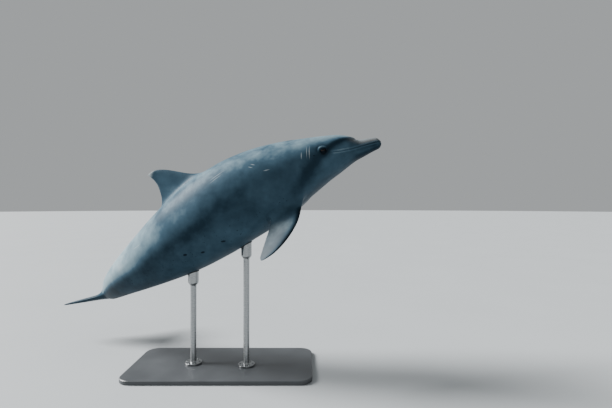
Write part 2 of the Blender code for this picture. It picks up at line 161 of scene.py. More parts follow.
def mesh_object(name: str, points: Sequence, faces: Sequence, smooth: bool = True) -> Object:
    """Adds a mesh object to the scene.

    Args:
        name: Its name.
        points: Places of its points.
        faces: Numbers of each face's points.
        smooth: Whether its faces are shaded as one smooth surface.

    Returns:
        The object.
    """
    mesh = bpy.data.meshes.new(name)
    mesh.from_pydata([tuple(point) for point in points], [], [tuple(face) for face in faces])
    mesh.validate()
    if smooth:
        mesh.shade_smooth()
    return add_object(name, mesh)


def report(piece: Object) -> None:
    """Logs a finished piece with its number of faces."""
    LOG.info("%s: %d faces", piece.name, len(piece.data.polygons))


def write_values(mesh: Mesh, name: str, values: Array) -> None:
    """Puts a value for each point on a mesh, as an attribute."""
    mesh.attributes.new(name, "FLOAT", "POINT").data.foreach_set("value", values.astype(np.float32))


# ---- the body's form


@dataclass(frozen=True)
class Bend:
    """A bend of the spine. Arch lowers what lies behind it and turn swings that to the left, in degrees."""

    start: float
    length: float
    arch: float
    turn: float


@dataclass(frozen=True)
class Spine:
    """The curved line through the body, with its axes, in stations from the snout to the fluke notch."""

    length: float = 2.40
    held_at: float = 0.26
    held_place: Point = (0.34, -0.04, 1.10)
    nose_up: float = 24.0
    left_side_down: float = 6.0
    head_leans_left: float = 8.0
    head_lean_start: float = 0.14
    head_lean_length: float = 0.14
    steps: int = 1600
    bends: tuple[Bend, ...] = (
        Bend(0.11, 0.16, 5.5, 0.0),
        Bend(0.23, 0.30, 11.0, 8.5),
        Bend(0.43, 0.34, -6.0, 12.5),
        Bend(0.63, 0.30, -4.5, 30.0),
        Bend(0.83, 0.16, 5.5, 7.5),
    )

    @cached_property
    def table(self) -> tuple[Array, Array, Array, Array]:
        """Places, forward, left and up at equal steps along the spine."""
        at = np.linspace(0.0, 1.0, self.steps + 1)
        arch = sum(math.radians(b.arch) * ease((at - b.start) / b.length) for b in self.bends)
        turn = sum(math.radians(b.turn) * ease((at - b.start) / b.length) for b in self.bends)
        middle = round(self.held_at * self.steps)
        arch, turn = arch - arch[middle], turn[middle] - turn
        lean_share = 1.0 - ease((at - self.head_lean_start) / self.head_lean_length)
        lean = (math.radians(self.head_leans_left) * lean_share)[:, None]
        forward = np.stack((np.cos(arch) * np.cos(turn), np.cos(arch) * np.sin(turn), np.sin(arch)), 1)
        up = np.stack((-np.sin(arch) * np.cos(turn), -np.sin(arch) * np.sin(turn), np.cos(arch)), 1)
        up = up * np.cos(lean) + np.cross(up, forward) * np.sin(lean)
        left = np.cross(up, forward)
        places = np.zeros_like(forward)
        places[1:] = np.cumsum((forward[1:] + forward[:-1]) * (-0.5 * self.length / self.steps), axis=0)
        pitch = Matrix.Rotation(math.radians(-self.nose_up), 3, "Y")
        pose = np.array(pitch @ Matrix.Rotation(math.radians(-self.left_side_down), 3, "X"))
        places = (places - places[middle]) @ pose.T + np.array(self.held_place)
        return places, forward @ pose.T, left @ pose.T, up @ pose.T

    def frames(self, at: Array) -> tuple[Array, Array, Array, Array]:
        """Place, forward, left and up at each station."""
        where = np.clip(np.asarray(at, float), 0.0, 1.0) * self.steps
        low = np.minimum(where.astype(int), self.steps - 1)
        share = (where - low)[:, None]
        return tuple(column[low] * (1.0 - share) + column[low + 1] * share for column in self.table)

    def locate(self, points: Array, near: float, reach: float) -> tuple[Array, Array, Array]:
        """Station, distance left and height of world points.

        Args:
            points: World points, one a row.
            near: The station about which they are.
            reach: How far from it to search, in stations.

        Returns:
            Three arrays with a value for each point.
        """
        low = max(int((near - reach) * self.steps), 0)
        high = min(int((near + reach) * self.steps), self.steps)
        places, forward, left, up = (column[low : high + 1] for column in self.table)
        offsets = points[:, None, :] - places[None, :, :]
        ahead = np.einsum("ijk,jk->ij", offsets, forward)
        best = np.abs(ahead).argmin(axis=1)
        rows = np.arange(len(points))
        at = (low + best) / self.steps - ahead[rows, best] / self.length
        return at, (offsets[rows, best] * left[best]).sum(1), (offsets[rows, best] * up[best]).sum(1)


@dataclass(frozen=True)
class Row:
    """A cross-section, in hundredths of the length. Fullness is 2 for an ellipse and less for a keel."""

    at: float
    back: float
    belly: float
    half_width: float
    fullness: float


@dataclass(frozen=True)
class BodyForm:
    """The smooth body of the dolphin, and the small relief that its skin carries."""

    spine: Spine = Spine()
    snout: float = 0.0055
    nose_rounding: float = 0.011
    tail_rounding: float = 0.004
    chest_sag: float = 0.06
    chest_sag_at: float = 0.30
    chest_sag_spread: float = 0.25
    mouth_corner: float = 0.128
    eye_station: float = 0.1467
    eye_height: float = 0.0030
    ridge_radius: float = 0.025
    ridge_middle: float = 1.80
    ridge_spread: float = 1.00
    samples: int = 4000
    mouth: tuple[Pair, ...] = (
        (0.5, -0.20),
        (3.0, -0.12),
        (5.5, -0.18),
        (8.5, -0.50),
        (11.0, -0.62),
        (12.8, -0.48),
    )
    rows: tuple[Row, ...] = (
        Row(0.55, 1.05, 1.30, 1.05, 2.2),
        Row(1.6, 1.40, 1.42, 1.30, 2.3),
        Row(3.0, 1.66, 1.60, 1.54, 2.4),
        Row(4.6, 1.89, 1.88, 1.86, 2.4),
        Row(5.6, 2.10, 2.06, 2.14, 2.4),
        Row(6.6, 2.98, 2.22, 2.56, 2.3),
        Row(8.0, 3.98, 2.54, 3.42, 2.2),
        Row(10.0, 4.80, 3.22, 4.48, 2.15),
        Row(12.0, 5.26, 3.92, 5.31, 2.15),
        Row(14.5, 5.78, 4.72, 6.07, 2.15),
        Row(18.0, 6.54, 5.98, 7.08, 2.15),
        Row(22.0, 7.66, 7.36, 7.90, 2.15),
        Row(26.0, 8.54, 8.64, 8.43, 2.15),
        Row(30.0, 9.16, 9.62, 8.82, 2.15),
        Row(36.0, 9.66, 10.27, 9.11, 2.15),
        Row(43.0, 9.87, 10.37, 9.18, 2.1),
        Row(50.0, 9.46, 9.76, 8.72, 2.05),
        Row(57.0, 8.50, 8.60, 7.66, 2.0),
        Row(64.0, 7.17, 7.07, 6.17, 1.95),
        Row(70.0, 5.98, 5.78, 4.89, 1.9),
        Row(76.0, 4.80, 4.61, 3.73, 1.85),
        Row(82.0, 3.83, 3.73, 2.75, 1.8),
        Row(88.0, 2.96, 2.96, 1.95, 1.8),
        Row(92.0, 2.15, 2.15, 1.50, 1.85),
        Row(96.0, 1.15, 1.15, 1.15, 2.0),
        Row(100.0, 0.25, 0.25, 0.55, 2.0),
    )

    @cached_property
    def profiles(self) -> dict[str, Array]:
        """Back, belly, half width and fullness at equal steps, softened more on the trunk than the head."""
        fine = np.linspace(0.0, 1.0, self.samples + 1)
        places = np.array([row.at / 100.0 for row in self.rows])
        trunk_share = ease((fine - 0.12) / 0.12)
        made = {}
        for name in ("back", "belly", "half_width", "fullness"):
            scale = 1.0 if name == "fullness" else self.spine.length / 100.0
            exact = monotone_curve(places, np.array([getattr(row, name) * scale for row in self.rows]), fine)
            head = blurred(exact, 0.0016 * self.samples)
            made[name] = head * (1.0 - trunk_share) + blurred(exact, 0.010 * self.samples) * trunk_share
        return made

    def profile(self, name: str, at: Array) -> Array:
        """One size of the cross-section at each station."""
        return np.interp(at * self.samples, np.arange(self.samples + 1), self.profiles[name])

    def mouth_height(self, at: Array) -> Array:
        """Height of the closed mouth above the spine, constant behind its corner."""
        places = np.array([place / 100.0 for place, _ in self.mouth])
        heights = np.array([height * self.spine.length / 100.0 for _, height in self.mouth])
        return monotone_curve(places, heights, np.minimum(at, self.mouth_corner))

    def section(self, at: Array) -> tuple[Array, Array, Array, Array, Array]:
        """The cross-section at each station.

        Args:
            at: Stations.

        Returns:
            Back, belly, widest level, half width and fullness, with heights from the spine.
        """
        back, belly = self.profile("back", at), -self.profile("belly", at)
        half_width, fullness = self.profile("half_width", at), self.profile("fullness", at)
        sag = self.chest_sag * bell(at - self.chest_sag_at, self.chest_sag_spread)
        level = (back + belly) / 2.0 - sag * (back - belly)
        nose = np.clip((at - self.snout) / self.nose_rounding, 0.0, 1.0)
        tail = np.clip((1.0 - at) / self.tail_rounding, 0.0, 1.0)
        shrink = np.sqrt((1.0 - (1.0 - nose) ** 2) * (1.0 - (1.0 - tail) ** 2))
        back, belly = level + (back - level) * shrink, level + (belly - level) * shrink
        return back, belly, level, half_width * shrink, fullness

    def outline(self, at: Array, angle: Array) -> tuple[Array, Array]:
        """Distance left and height of the smooth skin, at angles from the back towards the left."""
        back, belly, level, half_width, fullness = self.section(at)
        along, across = np.cos(angle), np.sin(angle)
        reach = np.where(along >= 0.0, back - level, level - belly)
        left = half_width * np.abs(across) ** (2.0 / fullness) * np.sign(across)
        return left, level + reach * np.abs(along) ** (2.0 / fullness) * np.sign(along)

    def smooth_points(self, at: Array, angle: Array) -> Array:
        """World points of the smooth skin."""
        origin, _, left_axis, up_axis = self.spine.frames(at)
        left, height = self.outline(at, angle)
        return origin + left_axis * left[:, None] + up_axis * height[:, None]

    def normals(self, at: Array, angle: Array) -> Array:
        """Outward directions of the smooth skin.

        Args:
            at: Stations.
            angle: Angles from the back.

        Returns:
            A direction of length 1 for each point.
        """
        step, turn = 0.0003, 0.003
        first, last = self.snout + 0.00002, 1.0 - 0.00002
        behind, before = np.minimum(at + step, last), np.maximum(at - step, first)
        along = self.smooth_points(behind, angle) - self.smooth_points(before, angle)
        round_skin = self.smooth_points(at, angle + turn) - self.smooth_points(at, angle - turn)
        outward = np.cross(round_skin, along)
        return outward / np.maximum(np.linalg.norm(outward, axis=1), 1e-12)[:, None]

    def points(self, at: Array, angle: Array) -> Array:
        """World points of the skin with its relief."""
        left, height = self.outline(at, angle)
        rise = self.relief(at, left, height)
        return self.smooth_points(at, angle) + self.normals(at, angle) * rise[:, None]

    def angle_at_height(self, at: Array, height: Array) -> Array:
        """The angle from the back at which the skin is at a height, on the left side."""
        back, belly, level, _, fullness = self.section(at)
        rise = height - level
        share = np.where(rise >= 0.0, rise / (back - level), rise / (level - belly))
        along = np.minimum(np.abs(share), 1.0) ** (fullness / 2.0)
        return np.arccos(along * np.sign(share))

    def from_world(self, points: Array, near: float, reach: float) -> tuple[Array, Array, Array]:
        """Station, angle and outwardness of world points.

        Args:
            points: World points, one a row.
            near: The station about which they are.
            reach: How far from it to search, in stations.

        Returns:
            Three arrays: stations, angles, and 1 on the skin, less inside it and more outside.
        """
        at, left, height = self.spine.locate(points, near, reach)
        back, belly, level, half_width, fullness = self.section(at)
        across = left / half_width
        along = (height - level) / np.where(height >= level, back - level, level - belly)
        angle = np.arctan2(
            np.abs(across) ** (fullness / 2.0) * np.sign(across),
            np.abs(along) ** (fullness / 2.0) * np.sign(along),
        )
        size = (np.abs(across) ** fullness + np.abs(along) ** fullness) ** (1.0 / fullness)
        return at, angle, size

    def relief(self, at: Array, left: Array, height: Array) -> Array:
        """How far the skin rises above the smooth form, from its lips, creases, blowhole and slits.

        Args:
            at: Stations.
            left: Distances to the left of the spine.
            height: Heights above the spine.

        Returns:
            Metres along the outward direction.
        """
        along = at * self.spine.length
        upper = ease((height - self.mouth_height(at)) / 0.010)
        return (
            self.mouth_relief(at, height)
            + self.crease_relief(along, left, upper)
            + self.blowhole_relief(along, left, height)
            + self.orbit_relief(at, height)
            + self.trunk_relief(at, left, height)
        )

    def mouth_relief(self, at: Array, height: Array) -> Array:
        """The groove of the closed mouth, the lips along it and the dimple behind its corner.

        Args:
            at: Stations.
            height: Heights above the spine.

        Returns:
            Metres of rise.
        """
        above = height - self.mouth_height(at)
        length = self.spine.length
        open_share = 1.0 - ease((at - self.mouth_corner + 0.006) / 0.008)
        groove = -0.0026 * bell(above, 0.0017) * open_share
        lips = 0.0010 * bell(np.abs(above) - 0.0070, 0.0045) * open_share
        overhang = 0.0008 * ease(above / 0.003) * bell(above, 0.012) * open_share
        behind = (at - self.mouth_corner - 0.001) * length
        dimple = -0.0022 * np.exp(-((behind / 0.011) ** 2) - (above / 0.008) ** 2)
        cheek = 0.0020 * np.exp(-(((behind + 0.010) / 0.030) ** 2) - ((above + 0.026) / 0.016) ** 2)
        return groove + lips + overhang + dimple + cheek

    def crease_relief(self, along: Array, left: Array, upper: Array) -> Array:
        """The crease that sets the beak off from the melon, swept back at its sides."""
        crease = 0.1365 + 9.0 * left**2
        ahead = along - crease
        return (-0.0032 * bell(ahead, 0.0050) + 0.0022 * bell(ahead - 0.016, 0.010)) * upper

    def blowhole_relief(self, along: Array, left: Array, height: Array) -> Array:
        """The crescent blowhole on top of the head, in a low mound."""
        top = ease((height - 0.06) / 0.03)
        aside = left - 0.003
        crescent = along - (0.334 - 24.0 * aside**2)
        width = 1.0 - ease((np.abs(aside) - 0.015) / 0.007)
        mound = 0.0030 * np.exp(-(((along - 0.330) / 0.026) ** 2) - (aside / 0.030) ** 2)
        lip = 0.0014 * bell(crescent + 0.006, 0.0045) * width
        return (mound + lip - 0.0062 * bell(crescent, 0.0026) * width) * top

    def orbit_place(self, at: Array, height: Array) -> tuple[Array, Array]:
        """Distance from the eye along the skin, and how far a place belongs to the ridge over the eye."""
        ahead = (self.eye_station - at) * self.spine.length
        above = height - self.eye_height * self.spine.length
        direction = np.arctan2(above, ahead)
        return np.hypot(ahead, above), bell(direction - self.ridge_middle, self.ridge_spread)

    def orbit_relief(self, at: Array, height: Array) -> Array:
        """The ridge that arches over the eye from behind, with a hollow under it and a fold outside."""
        reach, share = self.orbit_place(at, height)
        ridge = 0.0030 * bell(reach - self.ridge_radius, 0.0048)
        hollow = -0.0020 * bell(reach - self.ridge_radius + 0.0105, 0.0050)
        fold = -0.0016 * bell(reach - self.ridge_radius - 0.0085, 0.0040)
        return (ridge + hollow + fold) * share

    def trunk_relief(self, at: Array, left: Array, height: Array) -> Array:
        """Slits and navel on the belly, and the muscle line of the tail.

        Args:
            at: Stations.
            left: Distances to the left of the spine.
            height: Heights above it.

        Returns:
            Metres of rise.
        """
        length = self.spine.length
        below = ease((-height - 0.03) / 0.04)
        slit_share = ease((at - 0.585) / 0.006) - ease((at - 0.615) / 0.006)
        slit = -0.0032 * bell(left, 0.0034) * slit_share * below
        vent = -0.0026 * np.exp(-((left / 0.0045) ** 2) - (((at - 0.642) * length / 0.006) ** 2)) * below
        navel = -0.0018 * np.exp(-((left / 0.006) ** 2) - (((at - 0.468) * length / 0.013) ** 2)) * below
        tail_share = ease((at - 0.56) / 0.14) * (1.0 - ease((at - 0.84) / 0.06))
        muscle = -0.0035 * bell(height, 0.024) * tail_share
        return slit + vent + navel + muscle


# ---- fins, flippers and flukes


class BladeKind(Enum):
    """Which fin a blade is. The value goes into the skin's attribute of that name."""

    NONE = 0
    DORSAL = 1
    FLIPPER = 2
    FLUKE = 3


@dataclass(frozen=True)
class BladeShape:
    """The flat outline and thickness of a fin, in shares of the body's length unless it says metres."""

    kind: BladeKind
    lead: tuple[Pair, ...]
    trail: tuple[Pair, ...]
    root: tuple[Pair, Pair]
    thickness_m: float
    blend_share: float
    margins_m: tuple[float, float, float]
    root_share: float = -0.12
    taper: float = 0.86
    flare: float = 0.35
    flare_end: float = 0.12
    edge_m: float = 0.0026
    tip_round: float = 0.15
    tip_cut: float = 0.955
    softness: float = 1.0

    def edges(self, share: Array) -> tuple[Array, Array]:
        """Front and back edge in the flat outline.

        Args:
            share: Shares of the span, negative inside the body.

        Returns:
            Two rows of flat places.
        """
        inner = np.clip(share / self.root_share, 0.0, None)[:, None]
        outer = np.clip(share, 0.0, 1.0) * self.tip_cut
        front, back = bezier(self.lead, outer), bezier(self.trail, outer)
        into = np.minimum(inner, 1.6)
        front = front + (np.array(self.root[0]) - np.array(self.lead[0])) * into
        back = back + (np.array(self.root[1]) - np.array(self.trail[0])) * into
        rounding = np.clip((share - 1.0 + self.tip_round) / self.tip_round, 0.0, 1.0)[:, None]
        keep = np.sqrt(1.0 - rounding**2)
        middle = front * 0.45 + back * 0.55
        return middle + (front - middle) * keep, middle + (back - middle) * keep

    def flat_points(self, share: Array, turn: Array) -> tuple[Array, Array, Array]:
        """Places in the flat outline, half thickness there with its sign, and the share of the chord.

        Args:
            share: Shares of the span.
            turn: Angles round the section: 0 at the front edge and pi at the back edge.

        Returns:
            Flat places, signed half thicknesses in metres, and chord shares.
        """
        front, back = self.edges(share)
        chord = (1.0 - np.cos(turn)) / 2.0
        foil = 0.2969 * np.sqrt(chord) - 0.1260 * chord - 0.3516 * chord**2
        foil = 5.0 * (foil + 0.2843 * chord**3 - 0.1015 * chord**4)
        spread = np.clip(share, 0.0, 1.0)
        thickness = self.thickness_m * (1.0 - self.taper * spread**0.9)
        inward = np.maximum(self.flare_end - share, 0.0) / (self.flare_end - self.root_share)
        thickness = thickness * (1.0 + self.flare * np.minimum(inward, 1.3) ** 2)
        rounding = np.sqrt(np.clip(1.0 - np.abs(2.0 * chord - 1.0) ** 20, 0.0, 1.0))
        tip = np.sqrt(1.0 - np.clip((share - 1.0 + self.tip_round) / self.tip_round, 0.0, 1.0) ** 2)
        half = np.hypot(foil * thickness, self.edge_m / 2.0 * rounding) * np.maximum(tip, 0.02)
        flat = front + (back - front) * chord[:, None]
        return flat, half * np.sign(np.sin(turn)), chord


@dataclass(frozen=True)
class Blade:
    """A fin set in place on the body."""

    name: str
    shape: BladeShape
    station: float
    place: Placer

    def points(self, share: Array, turn: Array) -> Array:
        """World points of the fin's surface."""
        flat, half, _ = self.shape.flat_points(share, turn)
        return self.place(flat, half)


@dataclass(frozen=True)
class Hold:
    """How a flipper is held: its side, 1 for left, and how far it droops and sweeps back, in degrees."""

    name: str
    side: int
    droop: float
    sweep: float


@dataclass(frozen=True)
class Fins:
    """All the blades of the dolphin, from their outlines and the way that each is held."""

    form: BodyForm
    dorsal_station: float = 0.4103
    dorsal_sink: float = 0.004
    flipper_station: float = 0.2627
    flipper_angle: float = 56.0
    flipper_inset: float = 0.93
    flipper_twist: float = 2.0
    fluke_station: float = 0.93
    fluke_drop: float = 0.0080
    fluke_rise: float = 0.20
    fluke_pitch: float = 9.0
    holds: tuple[Hold, ...] = (Hold("flipper_right", -1, 52.5, 27.0), Hold("flipper_left", 1, 12.0, 55.0))
    dorsal: BladeShape = BladeShape(
        kind=BladeKind.DORSAL,
        lead=((0.0, 0.0), (0.055, 0.033), (0.075, 0.098), (0.130, 0.096)),
        trail=((0.146, 0.0), (0.117, 0.021), (0.107, 0.075), (0.130, 0.096)),
        root=((-0.012, -0.022), (0.150, -0.022)),
        thickness_m=0.046,
        blend_share=0.16,
        margins_m=(0.050, 0.040, 0.030),
    )
    flipper: BladeShape = BladeShape(
        kind=BladeKind.FLIPPER,
        lead=((0.0, -0.0315), (0.050, -0.0378), (0.123, -0.0172), (0.157, 0.0390)),
        trail=((0.0075, 0.0401), (0.0634, 0.0287), (0.141, 0.0450), (0.157, 0.0390)),
        root=((-0.032, -0.0287), (-0.032, 0.0355)),
        thickness_m=0.034,
        tip_cut=0.92,
        tip_round=0.13,
        blend_share=0.10,
        margins_m=(0.026, 0.030, 0.026),
    )
    fluke: BladeShape = BladeShape(
        kind=BladeKind.FLUKE,
        lead=((-0.034, 0.003), (0.024, 0.061), (0.064, 0.103), (0.092, 0.115)),
        trail=((0.074, 0.0035), (0.082, 0.022), (0.077, 0.088), (0.092, 0.115)),
        root=((-0.036, 0.0060), (0.0725, 0.0060)),
        thickness_m=0.046,
        softness=0.6,
        blend_share=0.12,
        margins_m=(0.030, 0.004, 0.006),
    )

    def blades(self) -> list[Blade]:
        """The dorsal fin, the flippers and the flukes."""
        made = [Blade("dorsal_fin", self.dorsal, self.dorsal_station + 0.07, self.on_back)]
        for hold in self.holds:
            made.append(Blade(hold.name, self.flipper, self.flipper_station, self.flipper_place(hold)))
        for name, side in (("fluke_left", 1), ("fluke_right", -1)):
            made.append(Blade(name, self.fluke, self.fluke_station + 0.02, self.fluke_place(side)))
        return made

    def on_back(self, flat: Array, half: Array) -> Array:
        """Sets the dorsal fin's points on the back, along the curve of the spine."""
        at = self.dorsal_station + flat[:, 0]
        origin, _, left, up = self.form.spine.frames(at)
        length = self.form.spine.length
        height = self.form.profile("back", at) + (flat[:, 1] - self.dorsal_sink) * length
        return origin + up * height[:, None] + left * half[:, None]

    def flipper_place(self, hold: Hold) -> Placer:
        """The function that sets a flipper's points in place.

        Args:
            hold: How the flipper is held.

        Returns:
            A function from flat places and half thicknesses to world points.
        """
        station = np.array([self.flipper_station])
        origin, forward, left, up = (column[0] for column in self.form.spine.frames(station))
        _, belly, level, half_width, _ = (float(value[0]) for value in self.form.section(station))
        angle = math.radians(self.flipper_angle)
        outer = left * hold.side
        root = origin + outer * half_width * math.cos(angle) * self.flipper_inset
        root = root + up * (level - (level - belly) * math.sin(angle) * self.flipper_inset)
        droop, sweep, twist = (math.radians(v) for v in (hold.droop, hold.sweep, self.flipper_twist))
        outward = outer * math.cos(droop) - up * math.sin(droop)
        span = outward * math.cos(sweep) - forward * math.sin(sweep)
        rearward = -(outward * math.sin(sweep) + forward * math.cos(sweep))
        rearward = rearward * math.cos(twist) + np.cross(rearward, span) * hold.side * math.sin(twist)
        return self.flat_place(root, span, rearward, np.cross(span, rearward))

    def fluke_place(self, side: int) -> Placer:
        """The function that sets a fluke's points in place.

        Args:
            side: 1 for the left fluke and -1 for the right.

        Returns:
            A function from flat places and half thicknesses to world points.
        """
        station = np.array([self.fluke_station])
        origin, forward, left, up = (column[0] for column in self.form.spine.frames(station))
        pitch = math.radians(self.fluke_pitch)
        rearward = up * math.sin(pitch) - forward * math.cos(pitch)
        face = up * math.cos(pitch) + forward * math.sin(pitch)
        root = origin - up * self.fluke_drop * self.form.spine.length
        return self.flat_place(root, rearward, left * side + up * self.fluke_rise, face)

    def flat_place(self, root: Array, first: Array, second: Array, face: Array) -> Placer:
        """The function that sets points of a flat outline in place.

        Args:
            root: World point of the outline's origin.
            first: Direction of the outline's first axis.
            second: Direction of its second axis.
            face: Direction of its thickness.

        Returns:
            A function from flat places and half thicknesses to world points.
        """
        length = self.form.spine.length

        def place(flat: Array, half: Array) -> Array:
            """World points of flat places and half thicknesses."""
            along = flat[:, :1] * length * first + flat[:, 1:] * length * second
            return root + along + half[:, None] * face

        return place


# ---- the skin


@dataclass
class Patch:
    """A stretch of the body's grid that is cut out for a fin or an eye: its corners and its rim."""

    first_row: int
    last_row: int
    first_column: int
    last_column: int

    def rim(self) -> list[tuple[int, int, float]]:
        """Rows, columns and places round the rim, from 0 at the front left corner to 4."""
        rows, columns = self.last_row - self.first_row, self.last_column - self.first_column
        front = [(self.first_row, self.first_column + k, k / columns) for k in range(columns)]
        far = [(self.first_row + k, self.last_column, 1.0 + k / rows) for k in range(rows)]
        back = [(self.last_row, self.last_column - k, 2.0 + k / columns) for k in range(columns)]
        near = [(self.last_row - k, self.first_column, 3.0 + k / rows) for k in range(rows)]
        return front + far + back + near


@dataclass(frozen=True)
class EyePlace:
    """Where an eye looks out, worked out from the body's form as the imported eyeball's place was."""

    form: BodyForm
    side: int
    radius: float = 0.0145
    proud: float = 0.0040

    @cached_property
    def angle(self) -> float:
        """The angle of the eye from the back, negative on the right."""
        height = np.array([self.form.eye_height * self.form.spine.length])
        return self.side * float(self.form.angle_at_height(np.array([self.form.eye_station]), height)[0])

    @cached_property
    def axes(self) -> tuple[Array, Array, Array, float]:
        """Forward and up along the skin, outward, and metres of skin for each radian of angle."""
        at, angle = np.array([self.form.eye_station]), np.array([self.angle])
        step, turn = 0.002, 0.02
        ahead = (self.form.smooth_points(at - step, angle) - self.form.smooth_points(at + step, angle))[0]
        above, below = (self.form.smooth_points(at, angle - way * turn) for way in (self.side, -self.side))
        round_skin = (above - below)[0]
        forward = ahead / np.linalg.norm(ahead)
        outward = np.cross(ahead, round_skin) * -self.side
        outward = outward / np.linalg.norm(outward)
        up = np.cross(outward, forward) * -self.side
        return forward, up / np.linalg.norm(up), outward, float(np.linalg.norm(round_skin)) / (2.0 * turn)

    @cached_property
    def centre(self) -> Array:
        """The middle of the eyeball."""
        skin = self.form.smooth_points(np.array([self.form.eye_station]), np.array([self.angle]))[0]
        return skin - self.axes[2] * (self.radius - self.proud)

    def to_local(self, at: Array, angle: Array) -> tuple[Array, Array]:
        """Metres forward of and above the eye, along the skin."""
        ahead = (self.form.eye_station - at) * self.form.spine.length
        return ahead, -self.side * (angle - self.angle) * self.axes[3]

    def from_local(self, ahead: Array, above: Array) -> tuple[Array, Array]:
        """Stations and angles of places given in metres forward of and above the eye."""
        at = self.form.eye_station - ahead / self.form.spine.length
        return at, self.angle - self.side * above / self.axes[3]

    def shell_points(self, ahead: Array, above: Array, radius: float) -> Array:
        """World points of a ball of some radius about the eyeball's middle, over places on the skin."""
        forward, up, outward, _ = self.axes
        across = np.hypot(ahead, above)
        depth = np.sqrt(np.maximum(radius**2 - across**2, 0.0))
        return self.centre + forward * ahead[:, None] + up * above[:, None] + outward * depth[:, None]


@dataclass(frozen=True)
class Lids:
    """The opening between the lids, the folds round it and the patch of skin that holds them, in metres."""

    half_length: float = 0.0135
    upper: float = 0.0066
    lower: float = 0.0050
    tilt: float = -10.0
    thickness: float = 0.0016
    clearance: float = 0.0006
    stretch: float = 1.25
    ball_end: float = 0.0075
    ball_fade: float = 0.0115
    patch_length: float = 0.027
    patch_height: float = 0.022
    loops: int = 26

    def opening(self, share: Array) -> tuple[Array, Array]:
        """Places round the opening, forward of and above the eye.

        Args:
            share: From 0 to 4, a quarter for each side of the patch round it.

        Returns:
            Metres forward and metres up.
        """
        turn = (share - 0.5) * math.pi / 2.0
        ahead = self.half_length * np.cos(turn)
        sweep = np.sin(turn)
        above = np.where(sweep >= 0.0, self.upper, self.lower) * np.abs(sweep) ** 1.15 * np.sign(sweep)
        tilt = math.radians(self.tilt)
        forward = ahead * math.cos(tilt) - above * math.sin(tilt)
        return forward, ahead * math.sin(tilt) + above * math.cos(tilt)

    def folds(self, out: Array, turn: Array) -> Array:
        """How far the lids rise at a distance out from the opening, in the direction of an angle."""
        upper = ease(np.sin(turn) * 1.6)
        lower = ease(-np.sin(turn) * 1.6)
        crease = -0.0013 * bell(out - 0.0056, 0.0011) * upper
        brow = 0.0012 * bell(out - 0.0092, 0.0028) * upper
        second = -0.0006 * bell(out - 0.0135, 0.0012) * upper
        bag = -0.0009 * bell(out - 0.0047, 0.0010) * lower + 0.0006 * bell(out - 0.0075, 0.0024) * lower
        behind = bell(np.cos(turn) + 1.0, 0.35) * bell(out - 0.008, 0.006)
        return crease + brow + second + bag + 0.0005 * behind * np.cos(9.0 * turn)


@dataclass(frozen=True)
class Spacing:
    """How far apart the rings of the skin stand, in millimetres, at stations along the body."""

    at: tuple[float, ...] = (0.0165, 0.05, 0.155, 0.175, 0.30, 0.36, 0.86, 0.93, 0.985, 1.0)
    step_mm: tuple[float, ...] = (2.3, 2.4, 2.4, 4.3, 6.6, 10.0, 10.0, 6.0, 3.8, 2.2)

    def stations(self, start: float, end: float, length: float) -> Array:
        """Stations from start to end, at the spacing that belongs there on a body of a length."""
        made = [start]
        while made[-1] < end:
            made.append(made[-1] + float(np.interp(made[-1], self.at, self.step_mm)) / 1000.0 / length)
        stretch = (end - start) / (made[-1] - start)
        return start + (np.array(made) - start) * stretch


